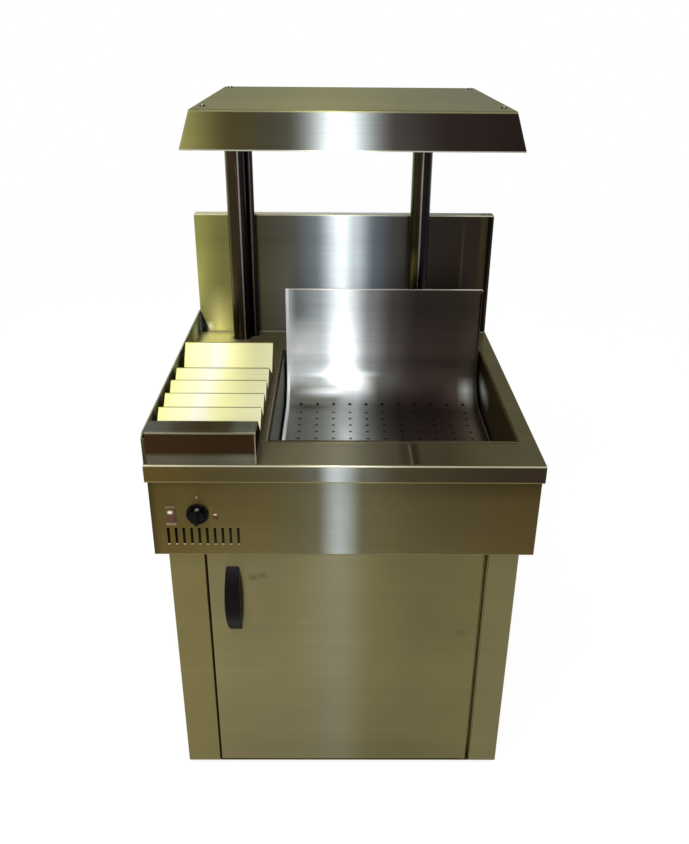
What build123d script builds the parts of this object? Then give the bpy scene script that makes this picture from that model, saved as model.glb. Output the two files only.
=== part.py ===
from build123d import *
import math
import os

os.makedirs("parts", exist_ok=True)

# Free-standing heated chip warmer: a cupboard base with one door, a boxed apron with the
# controls, a worktop with a heated well and a lift-out perforated chip scoop, a stepped
# carton rack on the left, and a heated hood on two round posts in front of the upstand.
#
# Frame: origin on the floor under the middle of the worktop, X to the right,
# Y to the back, Z up. The operator stands on the -Y side. Millimetres throughout.

# ---------------------------------------------------------------- driving dimensions
SHEET = 1.5             # stainless sheet, all folded panels
FOLD = 2.5              # outside radius of a fold
SEAT = 0.3              # gap where one loose piece sits on or beside another
SHAFT_FIT = 0.05        # radial running clearance of pins and shafts
HOLE_FIT = 0.1          # radial clearance of tubes and screws in sheet

# worktop and upstand
TOP_W = 800.0
TOP_D = 800.0
TOP_H = 855.0           # floor to working surface
EDGE_DROP = 40.0        # depth of the turned-down edge
EDGE_R = 3.0            # radius along the edge of the worktop
UPSTAND_H = 328.0
UPSTAND_D = 30.0        # depth of the return at the back of the upstand
UPSTAND_INSET = 4.0     # the upstand stops this far short of each end
UPSTAND_LIP = 25.0      # width of the return down the back of the upstand

# boxed apron below the worktop, which houses the well and the controls
APRON_INSET = 4.0       # the apron stops this far short of each end of the worktop
APRON_H = 178.0         # visible height below the worktop edge
APRON_SETBACK = 8.0     # behind the front edge of the worktop
APRON_BACK = 4.0        # in front of the rear edge of the worktop
APRON_LIP = 20.0        # return under the worktop

# cupboard base
BASE_INSET = 22.5       # base sides in from the apron's sides
BASE_SETBACK = 35.0
BASE_BACK = 5.0
FOOT_H = 14.0           # clearance under the base
STILE_LEFT = 75.5
STILE_RIGHT = 64.0
STILE_RETURN = 15.0
REAR_RETURN = 20.0
FLOOR_RISE = 20.0       # cupboard floor above the bottom of the base
STEP_GAP = 4.0          # back of the door to the step up to the cupboard floor
TOP_RAIL_H = 7.0
TOP_RAIL_D = 40.0

# door
DOOR_T = 24.0
DOOR_GAP = 2.0          # above and below the door
GAP_LATCH = 4.0         # at the handle side
GAP_HINGE = 10.0        # at the hinge side
LINER_LIP = 10.0
HINGE_INSET_X = 8.0     # hinge axis from the hinge edge of the door
HINGE_INSET_Y = 9.0     # hinge axis behind the face of the door
PIN_R = 4.0
PIN_IN_DOOR = 20.0
BUSH_R = 6.0
BUSH_FLANGE_R = 8.0

# bow handle
HANDLE_IN = 54.0        # middle of the handle from the opening edge of the door
HANDLE_DOWN = 125.0     # middle of the handle below the top of the door
HANDLE_L = 170.0
HANDLE_W = 34.0         # at the middle
HANDLE_END_W = 28.0
HANDLE_REACH = 36.0     # how far the bow stands off the door
HANDLE_BAR = 12.0       # thickness of the bow
HANDLE_FOOT = 20.0      # length of each foot
HANDLE_SOFT = 3.0       # edge rounding
SCREW_R = 2.5
SCREW_HEAD_R = 4.5
SCREW_HEAD_T = 3.0
SCREW_DEPTH = 12.0

# well with its dropped-in liner
WELL_FROM_RACK = 18.5   # inside of the well from the rack
WELL_FROM_RIGHT = 42.0  # and from the right, front and rear edges of the worktop
WELL_FROM_FRONT = 106.0
WELL_FROM_REAR = 181.0
WELL_DEPTH = 170.0
WELL_CORNER = 6.0
RIM = 8.5               # flange of the liner on the worktop, outside the wall
RIM_CORNER = 4.0        # outside corners of the flange
RIM_GAP = 1.0           # liner wall to the cut-out in the worktop

# lift-out chip scoop
SCOOP_SIDE_GAP = 8.0    # each side of the scoop to the wall of the well
SCOOP_GAP = 7.0         # front edge of the scoop to the front wall of the well
SCOOP_BACK = 17.5       # back of the scoop to the rear wall of the well
SCOOP_DROP = 122.0      # scoop floor below the worktop
SCOOP_RISE = 178.0      # top of the scoop above the worktop
SCOOP_BEND = 98.0       # inside radius where the floor turns up into the back
SCOOP_FLANGE = 12.0     # side flanges
SCOOP_HEM_D = 5.0
SCOOP_HEM_H = 12.0
HEM_R = 2.0
HOLE_R = 3.0
HOLE_PITCH_X = 42.2
HOLE_PITCH_Y = 36.5      # one row lies a pitch up the bend
HOLE_EDGE = 26.0        # least distance from the middle of a hole to the edges

# what carries the scoop, and the heating element under it
REST_GAP = 28.75        # rests out from the feet of the element's supports
REST_L = 300.0
REST_FOOT = 20.0
ELEMENT_R = 4.25
ELEMENT_LIFT = 23.0     # element centre above the floor of the well
ELEMENT_LEGS = 6
ELEMENT_PITCH = 50.0
ELEMENT_L = 320.0
ELEMENT_BEND = 24.0
STUD_R = 5.0
STUD_DROP = 12.0
SUPPORT_W = 16.0
SUPPORT_FOOT = 12.0
SUPPORT_PITCH = 180.0

# carton rack
RACK_WALL_H = 64.0      # side wall above the worktop
RACK_RETURN = 7.5       # front return of the side wall
RACK_INSET = 1.0        # side wall in from the worktop edge
RACK_FRONT = 2.0        # rack front behind the worktop edge
RACK_HEM_H = 12.0
RACK_NOTCH_Y = 16.0
RACK_NOTCH_Z = 8.0
RACK_W = 224.5          # side wall to the right end of the rack
BOX_LEFT_GAP = 0.3
BOX_H = 71.0
BOX_TOP_D = 48.0
BOX_TOP_RISE = 1.5
DIVIDER_GAP = 9.5       # dividers from the side wall
TOOTH_FIRST = 136.0     # first crest behind the worktop edge
TOOTH_PITCH = 71.5
TOOTH_COUNT = 4
TOOTH_RUN = 42.0        # a tooth's front face, front to back
TOOTH_CREST = 64.0      # crest above the worktop
TOOTH_VALLEY = 29.0
LAST_VALLEY_Y = 426.0
LAST_VALLEY_Z = 18.0
LAST_CREST_Y = 484.0
LAST_CREST_Z = 80.0
TOOTH_R = 2.0

# posts and wiring conduit
POST_R = 25.4
POST_WALL = 1.5
POST_FROM_LEFT = 124.0  # post axes from the edges of the worktop
POST_FROM_RIGHT = 204.5
POST_FROM_REAR = 72.0
POST_SINK = 55.0        # length of the post below the worktop
SOCKET_R = 30.0
SOCKET_PLATE = 84.0
SOCKET_PLATE_T = 4.0
CONDUIT_R = 10.0
CONDUIT_DX = 33.0
CONDUIT_DY = 14.0

# hood
HOOD_FROM_LEFT = 86.0   # bottom of the hood from the edges of the worktop
HOOD_FROM_RIGHT = 64.0
HOOD_FROM_FRONT = 173.0
HOOD_FROM_REAR = 29.0
HOOD_CLEAR = 571.0      # worktop to the bottom of the hood
HOOD_H = 71.0
HOOD_TAPER = 20.0       # how far each side leans in
HOOD_R = 2.5
HOOD_LIP = 12.0
ARM_INSET_LEFT = 18.0   # arm from the edge of the hood's flat top
ARM_INSET_RIGHT = 16.5
ARM_LEG = 20.0
ARM_DEPTH = 31.5
ARM_FRONT_INSET = 36.0
HOOD_SCREW_FRONT = 58.0  # front screws from the front of the flat top
HOOD_SCREW_REAR = 42.0
HOOD_SCREW_R = 3.0
DOME_R = 6.0
DOME_H = 3.5
BAR_T = 6.0
REFLECTOR_INSET = 45.0  # reflector in from the sides of the hood
REFLECTOR_D = 380.0
REFLECTOR_H = 34.0
REFLECTOR_TAPER = 12.0
LAMP_R = 5.0
LAMP_END_GAP = 60.0     # end of a lamp to the end of the reflector
LAMP_SPACING = 170.0
LAMP_DROP = 17.0        # lamp centre below the reflector
HOLDER_W = 18.0
HOLDER_L = 14.0
LAMP_GRIP = 6.0

# controls
KNOB_IN = 95.5          # controls from the left end of the apron
KNOB_UP = 100.5         # and above its lower edge
KNOB_R = 23.0
SKIRT_T = 5.0
CROWN_R = 17.5
CROWN_T = 11.0
GRIP_T = 7.0
GRIP_W = 9.0
KNOB_CLEAR = 0.8
SHAFT_R = 3.0
SHAFT_L = 15.0
REG_W = 48.0
REG_H = 50.0
REG_D = 38.0
ROCKER_IN = 41.0
ROCKER_UP = 96.5
BEZEL_W = 20.0
BEZEL_H = 47.0
BEZEL_T = 2.0
BEZEL_D = 24.0
BEZEL_WALL = 2.5
PADDLE_W = 13.0
PADDLE_H = 29.0
PADDLE_GAP = 1.4        # above and below the rocker, for its tilt
PADDLE_SIDE_GAP = 0.4
PADDLE_PROUD = 2.5
PADDLE_DIP = 1.2        # hollow of the rocker's face at its middle
ROCKER_TILT = 6.0       # each way; the upper half is pressed in at rest
ROCKER_AXIS = 5.0       # rocker axis behind the apron face
ROCKER_PIN_R = 1.5
PILOT_IN = 131.5
PILOT_UP = 94.0
PILOT_R = 6.5
PILOT_LENS_R = 4.5
PILOT_PROUD = 2.0
PILOT_D = 22.0
SLOT_COUNT = 10
SLOT_IN = 32.5
SLOT_PITCH = 16.0
SLOT_W = 5.5
SLOT_L = 38.0
SLOT_UP = 47.0          # middle of the slots
SLOT_LIP = 3.0
SLOT_LIP_T = 1.2

# supply
BOX_W = 90.0
BOX_D = 60.0
BOX_T = 45.0
BOX_FROM_RIGHT = 146.0  # middle of the box from the right end of the apron
BOX_FROM_REAR = 70.0
BOX_R = 4.0
GLAND_FROM_RIGHT = 96.0
GLAND_UP = 43.0
GLAND_R = 11.0
GLAND_BORE = 4.5
GLAND_HEX = 10.0        # thickness of the hexagon
GLAND_OUT = 20.0        # hexagon and dome nut together
GLAND_DOME_R = 9.5
GLAND_IN = 12.0
GLAND_THREAD_R = 8.0

# feet and catch
FOOT_R = 20.0
FOOT_WAIST_R = 8.0
FOOT_PAD = 5.0
STEM_R = 5.0
FOOT_INSET = 45.0
CATCH_UP = 316.0        # middle of the catch above the bottom of the base
CATCH_H = 45.0
CATCH_W = 14.0
CATCH_D = 15.0
CATCH_PLATE_W = 12.0

# ---------------------------------------------------------------- derived places
FRONT = -TOP_D / 2
BACK = TOP_D / 2
TOP_UNDER = TOP_H - SHEET
APRON_FRONT = FRONT + APRON_SETBACK
APRON_REAR = BACK - APRON_BACK
APRON_Z = TOP_H - EDGE_DROP - APRON_H
APRON_X = TOP_W / 2 - APRON_INSET
APRON_W = 2 * APRON_X
BASE_FRONT = FRONT + BASE_SETBACK
BASE_REAR = BACK - BASE_BACK
BASE_X = APRON_X - BASE_INSET
OPEN_LEFT = -BASE_X + STILE_LEFT
OPEN_RIGHT = BASE_X - STILE_RIGHT
FLOOR_Z = FOOT_H + FLOOR_RISE
TONGUE_Z = FOOT_H + SHEET
DOOR_LEFT = OPEN_LEFT + GAP_LATCH
DOOR_RIGHT = OPEN_RIGHT - GAP_HINGE
DOOR_Z0 = TONGUE_Z + DOOR_GAP
DOOR_Z1 = APRON_Z - TOP_RAIL_H - DOOR_GAP
DOOR_REAR = BASE_FRONT + DOOR_T
HANDLE_X = DOOR_LEFT + HANDLE_IN
HANDLE_Z = DOOR_Z1 - HANDLE_DOWN
CATCH_Z = FOOT_H + CATCH_UP
HINGE_X = DOOR_RIGHT - HINGE_INSET_X
HINGE_Y = BASE_FRONT + HINGE_INSET_Y
UPSTAND_Y = BACK - UPSTAND_D
UPSTAND_X = TOP_W / 2 - UPSTAND_INSET
RACK_LEFT = -TOP_W / 2 + RACK_INSET
RACK_RIGHT = RACK_LEFT + RACK_W
RACK_Y = FRONT + RACK_FRONT
WELL_LEFT = RACK_RIGHT + WELL_FROM_RACK
WELL_W = TOP_W / 2 - WELL_FROM_RIGHT - WELL_LEFT
WELL_D = TOP_D - WELL_FROM_FRONT - WELL_FROM_REAR
WELL_X = WELL_LEFT + WELL_W / 2
WELL_Y = FRONT + WELL_FROM_FRONT + WELL_D / 2
WELL_FLOOR = TOP_H - WELL_DEPTH
SCOOP_W = WELL_W - 2 * SCOOP_SIDE_GAP
SCOOP_FLOOR = TOP_H - SCOOP_DROP
SCOOP_UNDER = SCOOP_FLOOR - SHEET
SCOOP_FRONT = WELL_Y - WELL_D / 2 + SCOOP_GAP
SCOOP_REAR = WELL_Y + WELL_D / 2 - SCOOP_BACK
SCOOP_TOP = TOP_H + SCOOP_RISE
BEND_START = SCOOP_REAR - SHEET - SCOOP_BEND
POST_LEFT_X = -TOP_W / 2 + POST_FROM_LEFT
POST_RIGHT_X = TOP_W / 2 - POST_FROM_RIGHT
POST_Y = BACK - POST_FROM_REAR
HOOD_W = TOP_W - HOOD_FROM_LEFT - HOOD_FROM_RIGHT
HOOD_D = TOP_D - HOOD_FROM_FRONT - HOOD_FROM_REAR
HOOD_X = (HOOD_FROM_LEFT - HOOD_FROM_RIGHT) / 2
HOOD_Y = (HOOD_FROM_FRONT - HOOD_FROM_REAR) / 2
HOOD_Z = TOP_H + HOOD_CLEAR
HOOD_TOP = HOOD_Z + HOOD_H
HOOD_UNDER = HOOD_TOP - SHEET
FLAT_LEFT = HOOD_X - HOOD_W / 2 + HOOD_TAPER
FLAT_RIGHT = HOOD_X + HOOD_W / 2 - HOOD_TAPER
FLAT_FRONT = HOOD_Y - HOOD_D / 2 + HOOD_TAPER
FLAT_REAR = HOOD_Y + HOOD_D / 2 - HOOD_TAPER
ARM_LEFT_X = FLAT_LEFT + ARM_INSET_LEFT
ARM_RIGHT_X = FLAT_RIGHT - ARM_INSET_RIGHT
ARM_UNDER = HOOD_UNDER - ARM_DEPTH
POST_TOP = ARM_UNDER - BAR_T
REFLECTOR_W = HOOD_W - 2 * REFLECTOR_INSET
LAMP_L = REFLECTOR_W - 2 * LAMP_END_GAP
KNOB_X = -APRON_X + KNOB_IN
KNOB_Z = APRON_Z + KNOB_UP
ROCKER_X = -APRON_X + ROCKER_IN
ROCKER_Z = APRON_Z + ROCKER_UP
PILOT_X = -APRON_X + PILOT_IN
PILOT_Z = APRON_Z + PILOT_UP
SLOT_X = -APRON_X + SLOT_IN
SLOT_Z = APRON_Z + SLOT_UP
BOX_X = APRON_X - BOX_FROM_RIGHT
BOX_Y = APRON_REAR - BOX_FROM_REAR
GLAND_X = APRON_X - GLAND_FROM_RIGHT
GLAND_Z = APRON_Z + GLAND_UP
HOOD_SCREW_YS = (FLAT_FRONT + HOOD_SCREW_FRONT, FLAT_REAR - HOOD_SCREW_REAR)


def save(builder, name):
    """Label a finished piece and write it as its own STEP file."""
    builder.part.label = name
    export_step(builder.part, f"parts/{name}.step")


def folded(plane, points, length, radii=FOLD, side=Side.RIGHT, thickness=SHEET):
    """A folded sheet: an outline walked in the plane, thickened to one side and extruded."""
    with BuildPart() as piece:
        with BuildSketch(plane):
            with BuildLine():
                FilletPolyline(*points, radius=radii)
                offset(amount=thickness, side=side)
            make_face()
        extrude(amount=length)
    return piece.part


def slab(x0, x1, y0, y1):
    """A rectangle between two corners, placed in the sketch that is open."""
    with Locations(((x0 + x1) / 2, (y0 + y1) / 2)):
        Rectangle(x1 - x0, y1 - y0)


# ---------------------------------------------------------------- cupboard base
def side_panel(sign, stile, side):
    """A base side folded round the front into the door stile and round the back."""
    outer = sign * BASE_X
    inner = sign * (BASE_X - stile)
    outline = [
        (inner, BASE_FRONT + STILE_RETURN),
        (inner, BASE_FRONT),
        (outer, BASE_FRONT),
        (outer, BASE_REAR),
        (outer - sign * REAR_RETURN, BASE_REAR),
    ]
    with BuildPart() as piece:
        add(folded(Plane.XY.offset(FOOT_H), outline, APRON_Z - FOOT_H, side=side))
    return piece


side_panel_left = side_panel(-1, STILE_LEFT, Side.RIGHT)
side_panel_right = side_panel(1, STILE_RIGHT, Side.LEFT)
INSIDE_X = BASE_X - FOLD - SEAT

with BuildPart() as cabinet_back:
    with BuildSketch(Plane.XY.offset(FOOT_H)):
        slab(-INSIDE_X, INSIDE_X, BASE_REAR - 2 * SHEET, BASE_REAR - SHEET)
    extrude(amount=APRON_Z - FOOT_H)

FOOT_SPOTS = [
    (sx * (BASE_X - FOOT_INSET), y)
    for sx in (-1, 1)
    for y in (BASE_FRONT + FOOT_INSET, BASE_REAR - FOOT_INSET)
]

# The floor steps down behind the door and runs on under it as a tongue between the stiles.
STEP_Y = DOOR_REAR + STEP_GAP
FLOOR_REAR = BASE_REAR - 2 * SHEET - SEAT
OPENING_W = OPEN_RIGHT - OPEN_LEFT - 2 * SEAT
floor_outline = [
    (BASE_FRONT, TONGUE_Z),
    (STEP_Y, TONGUE_Z),
    (STEP_Y, FLOOR_Z),
    (FLOOR_REAR, FLOOR_Z),
]

with BuildPart() as cabinet_floor:
    add(folded(Plane.YZ.offset(OPEN_LEFT + SEAT), floor_outline, OPENING_W))
    with BuildSketch(Plane.XY.offset(FLOOR_Z - SHEET)):
        slab(-INSIDE_X, INSIDE_X, STEP_Y + FOLD + SHEET, FLOOR_REAR)
    extrude(amount=SHEET)
    with Locations((HINGE_X, HINGE_Y, TONGUE_Z)):
        Hole(radius=BUSH_R + SHAFT_FIT, depth=2 * SHEET)

top_rail_outline = [
    (BASE_FRONT, APRON_Z - TOP_RAIL_H),
    (BASE_FRONT, APRON_Z),
    (BASE_FRONT + TOP_RAIL_D, APRON_Z),
]
with BuildPart() as top_rail:
    add(folded(Plane.YZ.offset(OPEN_LEFT + SEAT), top_rail_outline, OPENING_W))
    with Locations((HINGE_X, HINGE_Y, APRON_Z)):
        Hole(radius=BUSH_R + SHAFT_FIT, depth=2 * SHEET)

with BuildPart() as levelling_feet:
    with Locations(*[(x, y, 0) for x, y in FOOT_SPOTS]):
        Cone(FOOT_R, FOOT_WAIST_R, FOOT_H - FOOT_PAD, align=(Align.CENTER, Align.CENTER, Align.MIN))
        Cylinder(STEM_R, FLOOR_Z - SHEET, align=(Align.CENTER, Align.CENTER, Align.MIN))

# ---------------------------------------------------------------- door
with BuildPart() as door_outer:
    with BuildSketch(Plane.XZ.offset(-BASE_FRONT)):
        slab(DOOR_LEFT, DOOR_RIGHT, DOOR_Z0, DOOR_Z1)
    extrude(amount=-DOOR_T)
    fillet(door_outer.edges().group_by(Axis.Y)[0], FOLD)
    offset(amount=-SHEET, openings=door_outer.faces().sort_by(Axis.Y)[-1])
    with BuildSketch(Plane.XY.offset(DOOR_Z0)):
        with Locations((HINGE_X, HINGE_Y)):
            Circle(PIN_R + SHAFT_FIT)
    extrude(amount=DOOR_Z1 - DOOR_Z0, mode=Mode.SUBTRACT)
    with BuildSketch(Plane.XZ.offset(-BASE_FRONT)):
        with Locations(*[(HANDLE_X, HANDLE_Z + s * (HANDLE_L - HANDLE_FOOT) / 2) for s in (-1, 1)]):
            Circle(SCREW_R + HOLE_FIT)
    extrude(amount=-2 * SHEET, mode=Mode.SUBTRACT)

LINER_LEFT = DOOR_LEFT + SHEET + SEAT
LINER_RIGHT = DOOR_RIGHT - SHEET - SEAT
with BuildPart() as door_inner:
    with BuildSketch(Plane.XZ.offset(-DOOR_REAR)):
        slab(LINER_LEFT, LINER_RIGHT, DOOR_Z0 + SHEET + SEAT, DOOR_Z1 - SHEET - SEAT)
    extrude(amount=LINER_LIP)
    offset(amount=-SHEET, openings=door_inner.faces().sort_by(Axis.Y)[0])

with BuildPart() as hinge_pins:
    with BuildSketch(Plane.XY.offset(DOOR_Z1 - PIN_IN_DOOR)):
        with Locations((HINGE_X, HINGE_Y)):
            Circle(PIN_R)
    extrude(amount=PIN_IN_DOOR + DOOR_GAP + TOP_RAIL_H - SHEET)
    with BuildSketch(Plane.XY.offset(TONGUE_Z - 2 * SHEET)):
        with Locations((HINGE_X, HINGE_Y)):
            Circle(PIN_R)
    extrude(amount=DOOR_GAP + 2 * SHEET + PIN_IN_DOOR)

with BuildPart() as hinge_bushes:
    with BuildSketch(Plane.XY.offset(APRON_Z - TOP_RAIL_H)):
        with Locations((HINGE_X, HINGE_Y)):
            Circle(BUSH_R)
            Circle(PIN_R + SHAFT_FIT, mode=Mode.SUBTRACT)
    extrude(amount=TOP_RAIL_H)
    with BuildSketch(Plane.XY.offset(TONGUE_Z - 2 * SHEET)):
        with Locations((HINGE_X, HINGE_Y)):
            Circle(BUSH_R)
            Circle(PIN_R + SHAFT_FIT, mode=Mode.SUBTRACT)
    extrude(amount=2 * SHEET)
    with BuildSketch(Plane.XY.offset(TONGUE_Z)):
        with Locations((HINGE_X, HINGE_Y)):
            Circle(BUSH_FLANGE_R)
            Circle(PIN_R + SHAFT_FIT, mode=Mode.SUBTRACT)
    extrude(amount=DOOR_GAP - SEAT)

# A bow handle: the arch seen from the side, cut to a barrel outline seen from the front.
HANDLE_OUT = BASE_FRONT - HANDLE_REACH
with BuildPart() as door_handle:
    with BuildSketch(Plane.YZ.offset(HANDLE_X - HANDLE_W / 2)):
        with BuildLine():
            outer = ThreePointArc(
                (BASE_FRONT, HANDLE_Z - HANDLE_L / 2),
                (HANDLE_OUT, HANDLE_Z),
                (BASE_FRONT, HANDLE_Z + HANDLE_L / 2),
            )
            Line(outer @ 1, (BASE_FRONT, HANDLE_Z + HANDLE_L / 2 - HANDLE_FOOT))
            ThreePointArc(
                (BASE_FRONT, HANDLE_Z + HANDLE_L / 2 - HANDLE_FOOT),
                (HANDLE_OUT + HANDLE_BAR, HANDLE_Z),
                (BASE_FRONT, HANDLE_Z - HANDLE_L / 2 + HANDLE_FOOT),
            )
            Line((BASE_FRONT, HANDLE_Z - HANDLE_L / 2 + HANDLE_FOOT), outer @ 0)
        make_face()
    extrude(amount=HANDLE_W)
    with BuildSketch(Plane.XZ.offset(-BASE_FRONT)):
        with BuildLine():
            left = ThreePointArc(
                (HANDLE_X - HANDLE_END_W / 2, HANDLE_Z - HANDLE_L / 2),
                (HANDLE_X - HANDLE_W / 2, HANDLE_Z),
                (HANDLE_X - HANDLE_END_W / 2, HANDLE_Z + HANDLE_L / 2),
            )
            right = ThreePointArc(
                (HANDLE_X + HANDLE_END_W / 2, HANDLE_Z + HANDLE_L / 2),
                (HANDLE_X + HANDLE_W / 2, HANDLE_Z),
                (HANDLE_X + HANDLE_END_W / 2, HANDLE_Z - HANDLE_L / 2),
            )
            Line(left @ 1, right @ 0)
            Line(right @ 1, left @ 0)
        make_face()
    extrude(amount=HANDLE_REACH, mode=Mode.INTERSECT)
    front_edges = door_handle.edges().filter_by(GeomType.LINE, reverse=True)
    fillet(front_edges.sort_by(Axis.Y)[:2], HANDLE_SOFT)
    with BuildSketch(Plane.XZ.offset(-BASE_FRONT)):
        with Locations(*[(HANDLE_X, HANDLE_Z + s * (HANDLE_L - HANDLE_FOOT) / 2) for s in (-1, 1)]):
            Circle(SCREW_R + SHAFT_FIT)
    extrude(amount=SCREW_DEPTH / 2, mode=Mode.SUBTRACT)

with BuildPart() as handle_screws:
    for s in (-1, 1):
        spot = (HANDLE_X, HANDLE_Z + s * (HANDLE_L - HANDLE_FOOT) / 2)
        with BuildSketch(Plane.XZ.offset(-BASE_FRONT - SHEET)):
            with Locations(spot):
                Circle(SCREW_HEAD_R)
        extrude(amount=-SCREW_HEAD_T)
        with BuildSketch(Plane.XZ.offset(-BASE_FRONT - SHEET)):
            with Locations(spot):
                Circle(SCREW_R)
        extrude(amount=SHEET + SCREW_DEPTH / 2 - SEAT)

with BuildPart() as door_catch:
    with BuildSketch(Plane.XY.offset(CATCH_Z - CATCH_H / 2)):
        slab(OPEN_LEFT, OPEN_LEFT + SHEET, BASE_FRONT + SHEET, DOOR_REAR + SHEET + CATCH_D)
        slab(OPEN_LEFT, OPEN_LEFT + CATCH_W, DOOR_REAR + SHEET + SEAT, DOOR_REAR + SHEET + CATCH_D)
    extrude(amount=CATCH_H)

with BuildPart() as catch_plate:
    with BuildSketch(Plane.XY.offset(CATCH_Z - CATCH_H / 2)):
        slab(LINER_LEFT, LINER_LEFT + CATCH_PLATE_W, DOOR_REAR, DOOR_REAR + SHEET)
    extrude(amount=CATCH_H)

# ---------------------------------------------------------------- boxed apron
SLOT_SPOTS = [(SLOT_X + i * SLOT_PITCH, SLOT_Z) for i in range(SLOT_COUNT)]
FASCIA_IN = APRON_FRONT + SHEET

fascia_outline = [
    (BASE_FRONT - SEAT, APRON_Z),
    (APRON_FRONT, APRON_Z),
    (APRON_FRONT, TOP_UNDER),
]

with BuildPart() as control_fascia:
    add(folded(Plane.YZ.offset(-APRON_X), fascia_outline, APRON_W))
    with BuildSketch(Plane.XY.offset(APRON_Z)):
        slab(-APRON_X, -BASE_X, FASCIA_IN, BASE_FRONT)
        slab(BASE_X, APRON_X, FASCIA_IN, BASE_FRONT)
    extrude(amount=2 * FOLD, mode=Mode.SUBTRACT)
    with BuildSketch(Plane.XZ.offset(-APRON_FRONT)):
        with Locations(*SLOT_SPOTS):
            Rectangle(SLOT_W, SLOT_L)
        with Locations((ROCKER_X, ROCKER_Z)):
            Rectangle(BEZEL_W - BEZEL_WALL, BEZEL_H - 2 * BEZEL_WALL)
        with Locations((KNOB_X, KNOB_Z)):
            Circle(SHAFT_R + SHEET)
        with Locations((PILOT_X, PILOT_Z)):
            Circle(PILOT_LENS_R + HOLE_FIT)
    extrude(amount=-SHEET, mode=Mode.SUBTRACT)
    with BuildSketch(Plane.YZ.offset(SLOT_X - SLOT_W / 2)):
        with BuildLine():
            Polyline(
                (APRON_FRONT, SLOT_Z - SLOT_L / 2),
                (APRON_FRONT - SLOT_LIP / 2, SLOT_Z - SLOT_L / 2 - SLOT_LIP_T),
                (APRON_FRONT, SLOT_Z - SLOT_L / 2 - SLOT_LIP),
                close=True,
            )
        make_face()
    lip = extrude(amount=SLOT_W)
    add([Pos(i * SLOT_PITCH, 0, 0) * lip for i in range(1, SLOT_COUNT)])


def housing_side(sign, side):
    """A side of the boxed apron, with a return under the worktop and one to the base."""
    outline = [
        (sign * (BASE_X + SEAT), APRON_Z),
        (sign * APRON_X, APRON_Z),
        (sign * APRON_X, TOP_UNDER),
        (sign * (APRON_X - APRON_LIP), TOP_UNDER),
    ]
    depth = APRON_REAR - FASCIA_IN - SEAT
    with BuildPart() as piece:
        add(folded(Plane.XZ.offset(-APRON_REAR), outline, depth, side=side))
    return piece


housing_side_left = housing_side(-1, Side.RIGHT)
housing_side_right = housing_side(1, Side.LEFT)

HOUSING_X = APRON_X - SHEET - SEAT
with BuildPart() as housing_back:
    with BuildSketch(Plane.XZ.offset(-APRON_REAR)):
        slab(-HOUSING_X, HOUSING_X, APRON_Z + SHEET + SEAT, TOP_UNDER - SHEET - SEAT)
        with Locations((GLAND_X, GLAND_Z)):
            Circle(GLAND_THREAD_R + HOLE_FIT, mode=Mode.SUBTRACT)
    extrude(amount=SHEET)

with BuildPart() as housing_floor:
    with BuildSketch(Plane.XY.offset(APRON_Z)):
        slab(-BASE_X, BASE_X, BASE_FRONT, BASE_REAR)
    extrude(amount=SHEET)

# ---------------------------------------------------------------- worktop and upstand
POSTS = ((POST_LEFT_X, POST_Y), (POST_RIGHT_X, POST_Y))
CONDUIT = (POST_LEFT_X + CONDUIT_DX, POST_Y + CONDUIT_DY)
CUT_W = WELL_W + 2 * (SHEET + RIM_GAP)
CUT_D = WELL_D + 2 * (SHEET + RIM_GAP)

with BuildPart() as worktop:
    with BuildSketch(Plane.XY.offset(TOP_H - EDGE_DROP)):
        Rectangle(TOP_W, TOP_D)
    extrude(amount=EDGE_DROP)
    fillet(worktop.faces().sort_by(Axis.Z)[-1].edges(), EDGE_R)
    offset(amount=-SHEET, openings=worktop.faces().sort_by(Axis.Z)[0])
    with BuildSketch(Plane.XY.offset(TOP_H)):
        with Locations((WELL_X, WELL_Y)):
            RectangleRounded(CUT_W, CUT_D, WELL_CORNER + SHEET)
        with Locations(*POSTS):
            Circle(POST_R + HOLE_FIT)
        with Locations(CONDUIT):
            Circle(CONDUIT_R + HOLE_FIT)
    extrude(amount=-2 * SHEET, mode=Mode.SUBTRACT)

with BuildPart() as splashback:
    with BuildSketch(Plane.XY.offset(TOP_H)):
        slab(-UPSTAND_X, UPSTAND_X, UPSTAND_Y, BACK)
    extrude(amount=UPSTAND_H)
    fillet(splashback.faces().sort_by(Axis.Z)[-1].edges(), FOLD)
    offset(amount=-SHEET, openings=splashback.faces().sort_by(Axis.Z)[0])
    with BuildSketch(Plane.XZ.offset(-BACK)):
        inner_x = UPSTAND_X - UPSTAND_LIP
        slab(-inner_x, inner_x, TOP_H, TOP_H + UPSTAND_H - UPSTAND_LIP)
    extrude(amount=2 * SHEET, mode=Mode.SUBTRACT)

# ---------------------------------------------------------------- well and heating
ELEMENT_HALF = ELEMENT_PITCH * (ELEMENT_LEGS - 1) / 2
STUD_SPOTS = [(WELL_X + s * ELEMENT_HALF, WELL_Y + ELEMENT_L / 2) for s in (-1, 1)]

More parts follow.
